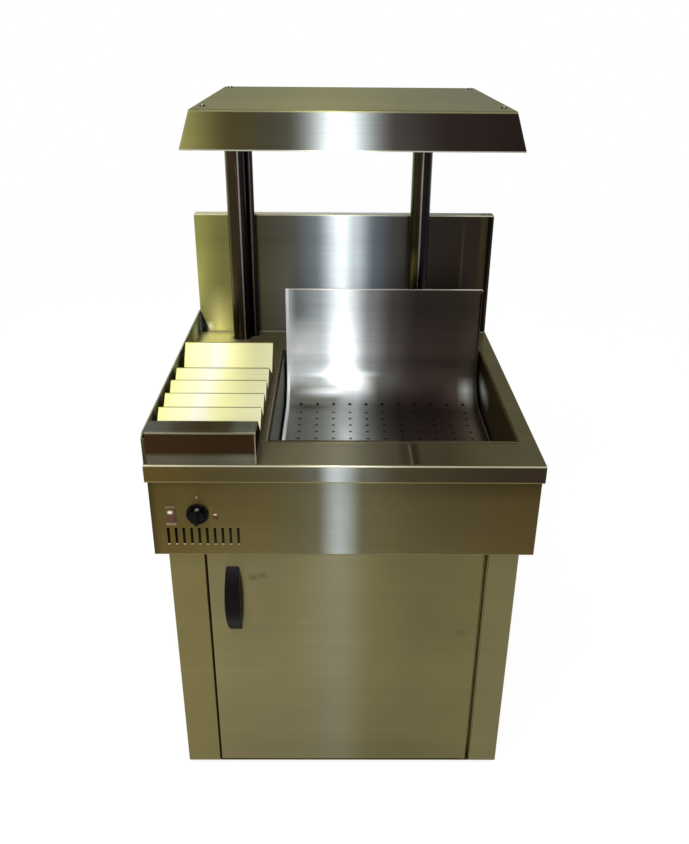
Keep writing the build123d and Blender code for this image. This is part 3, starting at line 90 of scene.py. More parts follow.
class Nodes:
    """A small wrapper that builds one material's node tree."""

    def __init__(self, name, **settings):
        self.material = bpy.data.materials.new(name)
        self.material.use_nodes = True
        self.tree = self.material.node_tree
        self.shader = self.tree.nodes["Principled BSDF"]
        coords = self.add("ShaderNodeTexCoord")
        self.coords = coords.outputs["Object"]
        self.place = self.split(coords.outputs["Object"])
        self.facing = self.split(coords.outputs["Normal"])
        for key, value in settings.items():
            self.shader.inputs[key].default_value = value

    def add(self, kind, **settings):
        node = self.tree.nodes.new(kind)
        for key, value in settings.items():
            setattr(node, key, value)
        return node

    def link(self, out, into):
        self.tree.links.new(out, into)

    def feed(self, value, socket):
        """Link an output to a socket, or set the socket to a number or colour."""
        if isinstance(value, bpy.types.NodeSocket):
            self.link(value, socket)
        elif isinstance(value, tuple):
            socket.default_value = (*value, 1.0)
        else:
            socket.default_value = value

    def split(self, vector):
        node = self.add("ShaderNodeSeparateXYZ")
        self.link(vector, node.inputs[0])
        return node.outputs

    def noise(self, per_m, stretch=(1, 1, 1), detail=3.0, distortion=0.0):
        """Noise with this many features per metre; stretch multiplies that on each axis."""
        mapping = self.add("ShaderNodeMapping")
        mapping.inputs["Scale"].default_value = [per_m * s for s in stretch]
        noise = self.add("ShaderNodeTexNoise")
        noise.inputs["Scale"].default_value = 1.0
        noise.inputs["Detail"].default_value = detail
        noise.inputs["Distortion"].default_value = distortion
        self.link(self.coords, mapping.inputs["Vector"])
        self.link(mapping.outputs["Vector"], noise.inputs["Vector"])
        return noise.outputs["Fac"]

    def ramp(self, value, start, end, low=0.0, high=1.0):
        """Carry a value from start..end over to low..high."""
        node = self.add("ShaderNodeMapRange")
        for socket, number in zip(list(node.inputs)[1:5], (start, end, low, high)):
            socket.default_value = number
        self.link(value, node.inputs["Value"])
        return node.outputs["Result"]

    def math(self, operation, a, b):
        node = self.add("ShaderNodeMath", operation=operation)
        self.feed(a, node.inputs[0])
        self.feed(b, node.inputs[1])
        return node.outputs[0]

    def mix(self, factor, a, b):
        """Mix two colours by a value; each is a colour or another node's output."""
        node = self.add("ShaderNodeMix", data_type="RGBA")
        self.feed(factor, node.inputs["Factor"])
        self.feed(a, node.inputs[6])
        self.feed(b, node.inputs[7])
        return node.outputs[2]

    def scale(self, colour, factor):
        node = self.add("ShaderNodeVectorMath", operation="SCALE")
        self.link(colour, node.inputs[0])
        self.feed(factor, node.inputs["Scale"])
        return node.outputs[0]

    def tones(self, value, stops):
        """Colours in sRGB at a few values, with a soft change between them."""
        first, last = stops[0][0], stops[-1][0]
        node = self.add("ShaderNodeValToRGB")
        node.color_ramp.interpolation = "EASE"
        points = node.color_ramp.elements
        while len(points) < len(stops):
            points.new(0.5)
        for point, (at, colour) in zip(points, stops):
            point.position = (at - first) / (last - first)
            point.color = (*linear(*colour), 1.0)
        self.link(self.ramp(value, first, last), node.inputs["Fac"])
        return node.outputs["Color"]

    def band(self, axis, at, width, soft=0.35):
        """1 on a strip across an axis, falling to 0 over a soft share of it at each side."""
        away = self.math("ABSOLUTE", self.math("SUBTRACT", self.place[axis], at), 0.0)
        return self.ramp(away, width / 2 * (1 + soft), width / 2 * (1 - soft))

    def shaded(self, colour, shades):
        """Scale a colour along an axis; each shade is an axis and two (place, factor) pairs."""
        for axis, (a, low), (b, high) in shades:
            colour = self.scale(colour, self.ramp(self.place[axis], a, b, low, high))
        return colour

    def marked(self, colour, marks):
        """Lay marks on a colour; each is a tone and the bands that bound it."""
        for tone, *bands in marks:
            factor = 1.0
            for band in bands:
                factor = self.math("MULTIPLY", self.band(*band), factor)
            colour = self.mix(factor, colour, linear(*tone))
        return colour

    def painted_hole_shade(self, colour, tone, radius, columns, rows, last_y):
        """Paint shade round the holes of a grid, so that they read darker, up to the row at last_y.

        radius is the hole's; columns and rows are each (place of one hole, pitch).
        """
        away = []
        for axis, (start, pitch) in ((X, columns), (Y, rows)):
            past = self.math("SUBTRACT", self.place[axis], start)
            step = self.math("PINGPONG", past, pitch / 2)
            away.append(self.math("MULTIPLY", step, step))
        distance = self.math("SQRT", self.math("ADD", *away), 0.0)
        # painted shade round each hole
        rim = self.ramp(distance, radius * HOLE_SHADE_REACH, radius)
        inside = self.ramp(self.place[Y], last_y + GRID_FADE, last_y)
        return self.mix(self.math("MULTIPLY", rim, inside), colour, linear(*tone))

    def bump(self, height, strength, distance):
        node = self.add("ShaderNodeBump")
        node.inputs["Strength"].default_value = strength
        node.inputs["Distance"].default_value = distance
        self.link(height, node.inputs["Height"])
        self.link(node.outputs["Normal"], self.shader.inputs["Normal"])

    def tangent(self, axis):
        """Lay the shader's tangent along an axis of the object."""
        along = self.add("ShaderNodeCombineXYZ")
        for i in range(3):
            along.inputs[i].default_value = 1.0 if i == axis else OFF_AXIS
        turn = self.add("ShaderNodeVectorTransform", vector_type="VECTOR")
        turn.convert_from, turn.convert_to = "OBJECT", "WORLD"
        self.link(along.outputs["Vector"], turn.inputs["Vector"])
        self.link(turn.outputs["Vector"], self.shader.inputs["Tangent"])


# ---------------------------------------------------------------- finishes, many with painted light and shade
LINES_PER_M = 700.0         # brush lines across the grain
LINE_STRETCH = 0.012        # the width of a line beside its length
STREAK_W = 9                # the width of a broad streak, in lines
BRUSH_DEPTH = 0.0002
GRAIN_DEPTH = 0.0003        # of moulded plastic
ROUGH_CHANGE = 0.02         # of the sheet's roughness, either way
QUARTER_TURN = 0.25         # of the gloss from the tangent, in turns
FINE_SPAN = (0.3, 0.7)      # where nearly all of a fine noise lies
BROAD_SPAN = (0.35, 0.65)   # and of a broad one
LEAN = (0.3, 0.7)           # a face looks up, or to the right, as its normal leans past these


def brushed(name, front, top=None, side=None, grain=X, rough=0.36, rim=1.0, marks=(), shades=(),
            holes=(), contrast=0.07, clouds=0.08):
    """Brushed stainless sheet, with light and shade painted into its colour.

    front and top are the tones of its upright faces and of those that look up, as (x, tone) from
    left to right, and side is the tone of those that look to the right. These tones hold painted
    highlights and reflections, and where they differ from face to face, that is painted light and
    shade. Each shade is an axis and two (place, factor) pairs, a painted brightening or darkening
    along the axis. Each mark is a tone and the bands, (axis, at, width, softness), that bound it;
    many marks are painted highlights, reflections or shade. rim is how bright the sheet turns
    where it is seen at a low angle. holes gives the painted shade round a grid of holes: its tone,
    the hole's radius, the columns and rows, and the place of the last row. contrast is that of the
    brush lines, and clouds that of broad changes.
    """
    m = Nodes(name, Metallic=1.0, Anisotropic=1.0)
    m.shader.inputs["Anisotropic Rotation"].default_value = QUARTER_TURN
    m.shader.inputs["Specular Tint"].default_value = (rim, rim, rim, 1.0)
    colour = m.tones(m.place[X], front)
    if top:
        colour = m.mix(m.ramp(m.facing[Z], *LEAN), colour, m.tones(m.place[X], top))
    if side:
        colour = m.mix(m.ramp(m.facing[X], *LEAN), colour, linear(*side))
    colour = m.marked(m.shaded(colour, shades), marks)
    if holes:
        colour = m.painted_hole_shade(colour, *holes)
    stretch = [1.0, 1.0, 1.0]
    stretch[grain] = LINE_STRETCH
    fine = m.noise(LINES_PER_M, stretch, detail=3.0)
    broad = m.noise(LINES_PER_M / STREAK_W, stretch, detail=2.0)
    cloud = m.noise(per_m=4.0, detail=3.0, distortion=0.5)
    factor = m.ramp(fine, *FINE_SPAN, 1 - contrast, 1 + contrast)
    streaks = m.ramp(broad, *FINE_SPAN, 1 - contrast / 2, 1 + contrast / 2)
    factor = m.math("MULTIPLY", factor, streaks)
    factor = m.math("MULTIPLY", factor, m.ramp(cloud, *BROAD_SPAN, 1 - clouds, 1 + clouds))
    m.link(m.scale(colour, factor), m.shader.inputs["Base Color"])
    level = m.ramp(fine, *FINE_SPAN, rough - ROUGH_CHANGE, rough + ROUGH_CHANGE)
    m.link(level, m.shader.inputs["Roughness"])
    m.bump(fine, 0.05, BRUSH_DEPTH)
    m.tangent(grain)
    return m.material


def polished(name, around, rough=0.22, marks=(), shades=()):
    """A drawn and polished tube, standing upright; around is its tones as (normal's x, tone), with
    its reflections and highlight painted in.
    """
    m = Nodes(name, Metallic=1.0, Anisotropic=0.9)
    colour = m.marked(m.shaded(m.tones(m.facing[X], around), shades), marks)
    draw = m.noise(per_m=500.0, stretch=(1.0, 1.0, 0.01), detail=2.0)
    smear = m.noise(per_m=9.0, stretch=(1.0, 1.0, 0.4), detail=3.0, distortion=0.6)
    drawn = m.ramp(draw, *FINE_SPAN, 0.85, 1.15)
    factor = m.math("MULTIPLY", drawn, m.ramp(smear, *BROAD_SPAN, 0.8, 1.2))
    m.link(m.scale(colour, factor), m.shader.inputs["Base Color"])
    level = m.ramp(draw, *FINE_SPAN, rough - ROUGH_CHANGE, rough + ROUGH_CHANGE)
    m.link(level, m.shader.inputs["Roughness"])
    m.tangent(Z)
    return m.material


def metal(name, tone, worn, rough=0.3):
    """Plain bright metal for fasteners and inner fittings, worn to a second tone in places."""
    m = Nodes(name, Metallic=1.0)
    broad = m.noise(per_m=30.0, detail=4.0, distortion=0.4)
    fine = m.noise(per_m=900.0, detail=2.0)
    colour = m.mix(m.ramp(broad, *BROAD_SPAN), linear(*tone), linear(*worn))
    m.link(colour, m.shader.inputs["Base Color"])
    m.link(m.ramp(fine, *FINE_SPAN, rough - 0.06, rough + 0.08), m.shader.inputs["Roughness"])
    m.bump(fine, 0.1, BRUSH_DEPTH)
    return m.material


def plastic(name, base, worn, rough=0.4, specular=0.3, speckle=600.0, coat=0.0, marks=()):
    """Moulded plastic, or paint, with a fine texture and a slight change of tone."""
    m = Nodes(name)
    m.shader.inputs["Specular IOR Level"].default_value = specular
    m.shader.inputs["Coat Weight"].default_value = coat
    m.shader.inputs["Coat Roughness"].default_value = 0.06
    fine = m.noise(speckle, detail=2.0)
    broad = m.noise(per_m=18.0, detail=3.0)
    colour = m.mix(m.ramp(broad, *BROAD_SPAN), linear(*base), linear(*worn))
    m.link(m.marked(colour, marks), m.shader.inputs["Base Color"])
    m.link(m.ramp(fine, *BROAD_SPAN, rough - 0.04, rough + 0.08), m.shader.inputs["Roughness"])
    m.bump(fine, 0.12, GRAIN_DEPTH)
    return m.material


def assign(material, *names):
    """Give a material to CAD nodes."""
    for name in names:
        nodes[name].data.materials.clear()
        nodes[name].data.materials.append(material)


def middle(name):
    """The centre of a node's box."""
    return [(low + high) / 2 for low, high in zip(*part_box(name))]


# ---------------------------------------------------------------- places from the frame
worktop_low, worktop_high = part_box("worktop")
_, upstand_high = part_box("splashback")
hood_low, hood_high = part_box("hood_shell")
scoop_low, scoop_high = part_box("chip_scoop")
_, box_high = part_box("rack_front_box")
_, divider_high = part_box("rack_dividers")
apron_low, apron_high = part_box("control_fascia")
wall_low, wall_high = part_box("rack_side_wall")
well_low, well_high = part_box("well_liner")
panel_low, panel_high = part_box("side_panel_left")
bezel_low, bezel_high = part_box("rocker_bezel")
_, rocker_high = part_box("rocker")
_, knob_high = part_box("control_knob")
PILOT, SWITCH = middle("pilot_light"), middle("rocker_bezel")
DIAL = middle("regulator")      # the knob turns about this
RIGHT_POST_X = middle("post_right")[X]

SHEET_T = 0.0015
WORKTOP_Z = worktop_high[Z]
CREST_Z = WORKTOP_Z + 0.0635        # the lower crests of the rack's dividers
APRON_Y = apron_low[Y] + 0.0015     # the apron's face, behind the lips of its slots
OPEN_LEFT = panel_high[X]           # the door's opening, between the stiles
OPEN_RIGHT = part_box("side_panel_right")[0][X]

EDGE = 0.003            # width of a painted highlight line along a fold or an edge
FOLD_DOWN = 0.0026      # its middle below the face that looks up
EDGE_UP = 0.0006        # and in from a sheet's lower or front edge
RIM_IN = 0.001          # and inside the well's rim
HOLE_R = 0.003          # radius of the scoop's holes
HOLE_COLUMNS = (0.101, 0.0422)      # place of one hole across the scoop, and the pitch
HOLE_ROWS = (0.102, 0.0365)         # and the same from front to rear
LAST_ROW_Y = 0.148                  # where the grid of holes ends
SLOTS_Z = apron_low[Z] + 0.026      # the lower ends of the apron's slots
# bands as Nodes.band takes them: the worktop before the well, and the foot of the rack's box
FRONT_STRIP = (Y, -0.35, 0.09, 0.1)
BOX_FOOT = (Z, WORKTOP_Z + 0.004, 0.034, 0.3)

# ---------------------------------------------------------------- cabinet, door and apron
assign(
    brushed(
        "steel_door",
        # a faint painted highlight band just left of the middle
        [(-0.32, (122, 113, 77)), (-0.1, (117, 111, 77)), (-0.025, (114, 110, 86)),
         (0.07, (101, 95, 63)), (0.33, (112, 105, 68))],
        # painted shade at the foot and painted light about 0.3 m up
        shades=[(Z, (0.06, 0.9), (0.3, 1.0)), (Z, (0.3, 1.08), (0.5, 1.0))],
        clouds=0.05, contrast=0.05,
        marks=[     # three faint smudges
            ((98, 90, 58), (X, -0.196, 0.016, 0.9), (Z, 0.559, 0.012, 0.9)),
            ((98, 90, 58), (X, -0.176, 0.012, 0.9), (Z, 0.564, 0.01, 0.9)),
            ((100, 92, 60), (X, 0.262, 0.02, 0.9), (Z, 0.408, 0.012, 0.9)),
        ],
    ),
    "door_outer", "door_inner",
)
assign(
    brushed(
        "steel_base",
        [(-0.38, (118, 108, 68)), (0.38, (116, 109, 74))],
        [(-0.38, (96, 88, 60)), (0.38, (88, 82, 56))],
        clouds=0.05, contrast=0.05,
    ),
    "side_panel_left", "side_panel_right", "cabinet_back", "cabinet_floor", "top_rail",
)
assign(
    brushed(
        "steel_apron",
        # painted shade at the left end, and a painted highlight band just left of the middle
        [(-0.4, (62, 52, 27)), (-0.375, (86, 74, 38)), (-0.18, (95, 84, 50)), (-0.06, (88, 84, 62)),
         (-0.014, (134, 140, 136)), (0.04, (80, 76, 54)), (0.1, (85, 77, 51)), (0.4, (82, 69, 39))],
        # painted light towards the bottom and painted shade towards the top
        shades=[(Z, (apron_low[Z], 1.2), (apron_high[Z], 0.84))],
        marks=[     # painted shade on the upper right, and painted highlights along the lower edge and on the slots' lips
            ((48, 37, 20), (X, 0.34, 0.4, 0.9), (Z, apron_high[Z], 0.09, 0.9)),
            ((140, 132, 96), (Z, apron_low[Z] + EDGE_UP, EDGE)),
            ((172, 160, 134), (Y, apron_low[Y] + EDGE_UP, 0.0012, 0.1), (Z, SLOTS_Z, 0.006)),
        ],
        contrast=0.05,
    ),
    "control_fascia", "housing_side_left", "housing_side_right", "housing_back", "housing_floor",
)

# ---------------------------------------------------------------- worktop, upstand and hood
assign(
    brushed(
        "steel_worktop",
        # a painted highlight band near the middle of the front and of the top, and painted
        # reflections, darker to the right
        [(-0.4, (86, 72, 36)), (-0.12, (84, 77, 53)), (-0.06, (84, 84, 74)),
         (-0.022, (150, 157, 156)), (0.04, (78, 78, 68)), (0.11, (68, 60, 43)),
         (0.4, (57, 47, 36))],
        [(-0.4, (112, 105, 74)), (-0.1, (115, 109, 84)), (0.0, (126, 122, 102)),
         (0.09, (100, 94, 72)), (0.15, (96, 87, 67)), (0.24, (86, 78, 56)), (0.4, (90, 86, 62))],
        rim=0.5,
        marks=[
            # painted highlights along the fold and the lower edge
            ((190, 186, 160), (Z, WORKTOP_Z - FOLD_DOWN, EDGE)),
            ((124, 112, 74), (Z, worktop_low[Z] + EDGE_UP, EDGE)),
            # a painted reflection of the right post: a pale line between soft dark ones, across the
            # front strip
            ((84, 76, 58), (X, 0.12, 0.016, 0.9), FRONT_STRIP),
            ((66, 58, 45), (X, 0.142, 0.012, 0.9), FRONT_STRIP),
            ((128, 121, 102), (X, 0.1325, 0.0035, 0.8), FRONT_STRIP),
            # light at the upstand's left foot
            ((238, 230, 158), (X, -0.35, 0.1, 0.3), (Y, 0.31, 0.12, 0.5)),
        ],
    ),
    "worktop",
)
assign(
    brushed(
        "steel_upstand",
        # painted reflections, olive-yellow at the left and dark at the right, with a painted
        # highlight band near the middle
        [(-0.4, (134, 132, 72)), (-0.32, (118, 113, 66)), (-0.24, (86, 81, 62)),
         (-0.14, (94, 94, 86)), (-0.08, (102, 110, 115)),
         (-0.006, (186, 193, 196)), (0.03, (148, 156, 160)),
         (0.085, (88, 95, 100)), (0.14, (76, 76, 73)), (0.19, (60, 54, 48)), (0.4, (42, 34, 28))],
        [(-0.4, (176, 174, 128)), (0.0, (170, 172, 166)), (0.4, (96, 92, 84))],
        # painted light, stronger towards the foot
        shades=[(Z, (1.0, 1.32), (1.12, 1.0))],
        marks=[
            # painted light at the left foot, and a painted glint in it
            ((228, 224, 158), (X, -0.345, 0.05, 0.9), (Z, 0.86, 0.14, 0.9)),
            ((255, 253, 242), (X, -0.371, 0.011, 0.9), (Z, 0.872, 0.016, 0.9)),
            # painted shadow lines down the right side
            ((56, 50, 30), (X, 0.37, 0.014, 0.5)),
            ((16, 12, 9), (X, 0.386, 0.009, 0.3)),
            # painted highlights along the top fold and along the seam with the worktop
            ((190, 186, 160), (Z, upstand_high[Z] - 0.002, EDGE)),
            ((150, 150, 136), (Z, WORKTOP_Z + 0.002, 0.004)),
            # a faint streak beside the right post
            ((84, 72, 60), (X, 0.318, 0.006, 0.9), (Z, 1.02, 0.16, 0.9)),
        ],
    ),
    "splashback",
)
assign(
    brushed(
        "steel_hood",
        # painted reflections, olive at the left and dark at the right, with a painted highlight
        # band near the middle
        [(-0.33, (134, 130, 76)), (-0.21, (72, 65, 40)), (-0.115, (64, 63, 53)),
         (-0.006, (138, 145, 147)), (0.095, (64, 61, 57)), (0.2, (45, 37, 33)),
         (0.33, (38, 30, 27))],
        [(-0.33, (98, 96, 50)), (0.0, (104, 102, 58)), (0.33, (92, 91, 56))],
        marks=[
            # painted highlights along the lower edge and the top fold
            ((176, 174, 158), (Z, hood_low[Z] + EDGE_UP, EDGE)),
            ((130, 126, 92), (Z, hood_high[Z] - FOLD_DOWN, EDGE)),
        ],
    ),
    "hood_shell",
)

# ---------------------------------------------------------------- scoop and well
assign(
    brushed(
        "steel_scoop",
        # painted light at the left end and in a band near the middle, with painted reflections
        # darker to the right
        [(-0.148, (196, 202, 204)), (-0.12, (118, 124, 123)), (-0.07, (134, 140, 142)),
         (-0.006, (196, 202, 206)), (0.07, (108, 111, 110)), (0.13, (76, 72, 70)),
         (0.19, (60, 52, 48)), (0.35, (64, 56, 49))],
        [(-0.148, (120, 120, 114)), (-0.11, (106, 106, 97)), (0.0, (118, 118, 114)),
         (0.08, (98, 96, 88)), (0.15, (72, 62, 58)), (0.25, (56, 46, 43)), (0.35, (88, 80, 66))],
        rough=0.34,
        # painted shade round the holes in the floor
        holes=((46, 42, 39), HOLE_R, HOLE_COLUMNS, HOLE_ROWS, LAST_ROW_Y),
        # painted light on the lower back, fading again into the bend
        shades=[(Z, (0.86, 1.9), (0.98, 1.0)), (Z, (0.79, 0.62), (0.86, 1.0))],
        marks=[
            # a painted highlight on the hem, painted light at the left side of the back and painted
            # shade at its right
            ((210, 204, 192), (Z, scoop_high[Z], EDGE)),
            ((250, 252, 253), (X, -0.12, 0.08, 0.9), (Z, 0.865, 0.1, 0.9)),
            ((96, 84, 74), (X, 0.33, 0.04, 0.9), (Z, 0.87, 0.1, 0.9)),
            # a painted pool of light in the bend, with painted shade beside it and painted
            # highlight lines above and below it
            ((236, 240, 243), (X, 0.035, 0.06, 0.9), (Z, 0.765, 0.05, 0.9)),
            ((118, 122, 121), (X, -0.065, 0.05, 0.9), (Z, 0.783, 0.03, 0.9)),
            ((94, 95, 91), (X, 0.11, 0.05, 0.9), (Z, 0.79, 0.05, 0.9)),
            ((196, 202, 204), (X, -0.02, 0.13, 0.9), (Z, 0.802, 0.011, 0.9)),
            ((204, 209, 211), (X, -0.025, 0.116, 0.9), (Z, 0.76, 0.012, 0.9)),
            # painted shade at the floor's rear, a painted highlight on its middle, and a painted
            # reflection at the right end of the bend
            ((74, 74, 68), (X, -0.09, 0.07, 0.9), (Z, 0.7365, 0.0045, 0.9)),
            ((186, 186, 182), (X, 0.012, 0.03, 0.9), (Y, -0.03, 0.08, 0.9), (Z, 0.732, 0.006)),
            ((168, 172, 169), (X, 0.323, 0.026, 0.9), (Z, 0.765, 0.034, 0.9)),
            # a painted highlight on the hem down the left side
            ((248, 250, 250), (X, scoop_low[X] + 0.0035, 0.007, 0.4)),
        ],
    ),
    "chip_scoop",
)
assign(
    brushed(
        "steel_well",
        # painted light at the left end, with painted reflections darker to the right
        [(-0.17, (150, 152, 148)), (-0.14, (112, 110, 100)), (-0.1, (64, 58, 44)),
         (0.37, (68, 57, 39))],
        [(-0.17, (84, 79, 58)), (0.0, (98, 94, 80)), (0.37, (68, 64, 44))],
        rough=0.28, rim=0.3,
        marks=[
            # painted highlights along the rim's three edges in sight, and a painted reflection on
            # the right wall
            ((170, 166, 150), (X, well_low[X] + RIM_IN, EDGE)),
            ((96, 90, 70), (X, well_high[X] - RIM_IN, EDGE)),
            ((120, 114, 92), (Y, well_low[Y] + RIM_IN, EDGE)),
            ((214, 218, 214), (X, 0.358, 0.014, 0.5), (Y, 0.12, 0.1, 0.9), (Z, 0.79, 0.035, 0.9)),
        ],
    ),
    "well_liner",
)

# ---------------------------------------------------------------- carton rack
assign(
    brushed(
        "steel_rack",
        # the dark front and the lighter faces that look up are painted reflections; faces that look
        # right carry painted shade
        [(-0.4, (54, 38, 22)), (-0.17, (50, 37, 21))],
        [(-0.4, (98, 99, 90)), (-0.36, (94, 95, 86)), (-0.32, (80, 74, 58)), (-0.28, (76, 67, 50)),
         (-0.235, (82, 78, 56)), (-0.2, (142, 143, 122)), (-0.175, (160, 161, 142))],
        side=(36, 29, 18),
        marks=[
            # a painted reflection at the foot of the box's front
            ((86, 82, 66), BOX_FOOT),
            ((100, 96, 79), (X, -0.195, 0.06, 0.9), BOX_FOOT),
            # painted highlights along its top fold and its right edge
            ((126, 121, 102), (Z, box_high[Z] - SHEET_T - FOLD_DOWN, EDGE)),
            ((140, 134, 116), (X, box_high[X] - 0.0022, 0.002)),
        ],
        rough=0.3, rim=0.1,
    ),
    "rack_front_box",
)
assign(
    brushed(
        "steel_dividers",
        # painted reflections of warm light in the pale yellow tones, painted shade towards the
        # front and on the right ends
        [(-0.4, (234, 230, 150)), (-0.34, (248, 246, 196)), (-0.31, (252, 250, 226)),
         (-0.26, (254, 252, 186)), (-0.17, (255, 253, 206))],
        shades=[(Y, (-0.25, 0.88), (0.1, 1.0))],
        side=(66, 58, 34), contrast=0.03, clouds=0.04, rough=0.4,
        marks=[     # painted shadow lines along the crests of the lower dividers and of the tall one
            ((122, 112, 50), (Z, CREST_Z, 0.0022), (Y, -0.15, 0.3, 0.05)),
            ((150, 142, 80), (Z, divider_high[Z], 0.0022)),
        ],
    ),
    "rack_dividers",
)
assign(
    brushed(
        "steel_rack_wall",
        # faces that look up painted lighter and faces that look right painted darker, as painted
        # light and shade
        [(-0.4, (70, 62, 38)), (-0.39, (70, 62, 38))],
        [(-0.4, (150, 146, 118)), (-0.39, (150, 146, 118))],
        side=(58, 52, 34), grain=Y,
        # a painted reflection at the wall's rear foot, by the upstand
        marks=[((236, 240, 232), (Y, 0.3, 0.08, 0.9), (Z, WORKTOP_Z + 0.03, 0.05, 0.9))],
    ),
    "rack_side_wall",
)

# ---------------------------------------------------------------- posts and inner fittings
assign(
    polished(
        "steel_post_left",
        # painted reflections round the tube, olive at its left and dark at its right, with a
        # painted highlight line right of the middle; painted light towards the foot
        [(-1.0, (120, 122, 62)), (-0.85, (84, 84, 42)), (-0.6, (52, 44, 28)), (0.24, (50, 41, 34)),
         (0.36, (152, 146, 136)), (0.48, (32, 28, 28)), (0.92, (24, 20, 21)), (1.0, (36, 32, 30))],
        shades=[(Z, (0.9, 1.6), (1.15, 1.0))],
    ),
    "post_left",
)
assign(
    polished(
        "steel_post_right",
        # painted reflections round the tube, with a painted highlight line at the middle
        [(-1.0, (104, 98, 64)), (-0.82, (46, 42, 26)), (-0.4, (40, 35, 22)), (-0.12, (44, 38, 30)),
         (0.0, (136, 128, 118)), (0.12, (26, 22, 24)), (0.85, (20, 17, 20)), (1.0, (84, 80, 74))],
        # a painted olive highlight on the left of the tube, in its lower part
        marks=[((124, 116, 58), (X, RIGHT_POST_X - 0.014, 0.012, 0.8), (Z, 1.045, 0.07, 0.9))],
    ),
    "post_right",
)
assign(
    polished(
        "steel_conduit",
        # painted reflections round the conduit, with a painted highlight line right of the middle;
        # painted light towards the foot
        [(-1.0, (22, 19, 20)), (0.0, (30, 25, 25)), (0.22, (96, 86, 78)), (0.4, (40, 32, 31)),
         (1.0, (50, 38, 35))],
        shades=[(Z, (0.9, 1.6), (1.15, 1.0))],
    ),
    "wiring_conduit",
)
assign(
    metal("steel_inner", (150, 150, 146), (120, 118, 112)),
    "scoop_rests", "element_supports", "post_socket_left", "post_socket_right",
    "hood_arm_left", "hood_arm_right", "hood_rear_bar", "reflector",
    "hinge_pins", "catch_plate", "handle_screws",
)
assign(
    polished(
        "steel_screw",
        # a painted highlight down the middle of each head, with painted reflections at its sides
        [(-1.0, (36, 34, 22)), (-0.3, (52, 50, 34)), (0.0, (168, 164, 134)), (0.3, (56, 52, 36)),
         (1.0, (30, 26, 20))],
        rough=0.25,
    ),
    "hood_screws",
)
assign(metal("element_sheath", (92, 84, 78), (66, 58, 54), 0.4), "heating_element")
assign(metal("brass_bush", (176, 146, 84), (150, 120, 64)), "hinge_bushes")
assign(
    plastic("plastic_black", (10, 10, 12), (16, 16, 18), rough=0.4, specular=0.15),
    "regulator", "terminal_box", "cable_gland", "door_catch", "levelling_feet", "rocker_pin",
)

# ---------------------------------------------------------------- handle, controls and lamps
assign(
    plastic(
        "plastic_pilot", (70, 54, 32), (78, 60, 36), 0.4, specular=0.2,
        # a painted highlight on the bezel's upper rim
        marks=[((240, 218, 184), (X, PILOT[X], 0.006, 0.8), (Z, PILOT[Z] + 0.0052, 0.004, 0.8))],
    ),
    "pilot_light",
)
assign(
    plastic(
        "plastic_handle", (9, 6, 8), (14, 9, 10), rough=0.3, specular=0.06,
        # a painted highlight across the grip
        marks=[((44, 38, 42), (Z, 0.6, 0.026, 0.9))],
    ),
    "door_handle",
)
assign(
    plastic(
        "plastic_bezel", (80, 66, 42), (90, 76, 50), 0.35, specular=0.2,
        marks=[     # the frame above and below the rocker
            ((112, 97, 72), (Z, bezel_high[Z] - 0.003, 0.005, 0.5)),
            ((136, 120, 94), (Z, bezel_low[Z] + 0.0035, 0.006, 0.5)),
        ],
    ),
    "rocker_bezel",
)
assign(
    plastic(
        "plastic_knob", (4, 4, 7), (7, 7, 11), 0.2, specular=0.07,
        marks=[     # the pointer line on the knob's top, painted pale where its highlight falls, so partly a painted highlight
            ((214, 210, 196), (X, DIAL[X] + 0.002, 0.007, 0.7), (Y, -0.405, 0.008, 0.7),
             (Z, knob_high[Z], 0.012, 0.3)),
        ],
    ),
    "control_knob",
)
assign(
    plastic(
        "plastic_rocker", (88, 46, 38), (80, 34, 30), 0.25, specular=0.4,
        marks=[     # the upper half, and a glint on it
            ((96, 74, 52), (Z, rocker_high[Z] - 0.004, 0.014, 0.4)),
            ((255, 238, 206), (X, SWITCH[X] - 0.001, 0.008, 0.6),
             (Z, SWITCH[Z] + 0.0085, 0.006, 0.6)),
        ],
    ),
    "rocker",
)
assign(plastic("plastic_lens", (84, 24, 12), (110, 34, 16), 0.2, coat=0.2), "pilot_lens")
assign(plastic("ceramic", (214, 208, 196), (200, 192, 178), 0.3), "lamp_holders")
assign(plastic("quartz", (232, 222, 206), (220, 206, 186), 0.1, coat=0.6), "heat_lamps")


# ---------------------------------------------------------------- mesh helpers
SHARP = math.radians(40)    # edges that turn more than this stay crisp


def piece(name, bm, material, body="cabinet"):
    """Finish a bmesh as a smooth-shaded piece that rides on a body."""
    mesh = bpy.data.meshes.new(name)
    bmesh.ops.recalc_face_normals(bm, faces=bm.faces)
    bm.to_mesh(mesh)
    bm.free()
    for face in mesh.polygons:
        face.use_smooth = True
    made = bpy.data.objects.new(name, mesh)
    bpy.context.scene.collection.objects.link(made)
    mesh.set_sharp_from_angle(angle=SHARP)
    mesh.materials.append(material)
    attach(made, body)


def turned(bm, profile, place, axis, segments=32):
    """Turn a profile of (radius, height) about an axis through a place; ends on the axis close."""
    spin = Vector(axis).to_track_quat("Z", "Y").to_matrix()
    loops = []
    for radius, height in profile:
        loop = []
        for i in range(segments if radius > 0 else 1):
            a = 2 * math.pi * i / segments
            point = Vector((radius * math.cos(a), radius * math.sin(a), height))
            loop.append(bm.verts.new(Vector(place) + spin @ point))
        loops.append(loop)
    for low, high in zip(loops, loops[1:]):
        for i in range(segments):
            j = (i + 1) % segments
            corners = [(low, i), (low, j), (high, j), (high, i)]
            # a loop on the axis is one point, which its faces name only once
            bm.faces.new(dict.fromkeys(loop[k % len(loop)] for loop, k in corners))


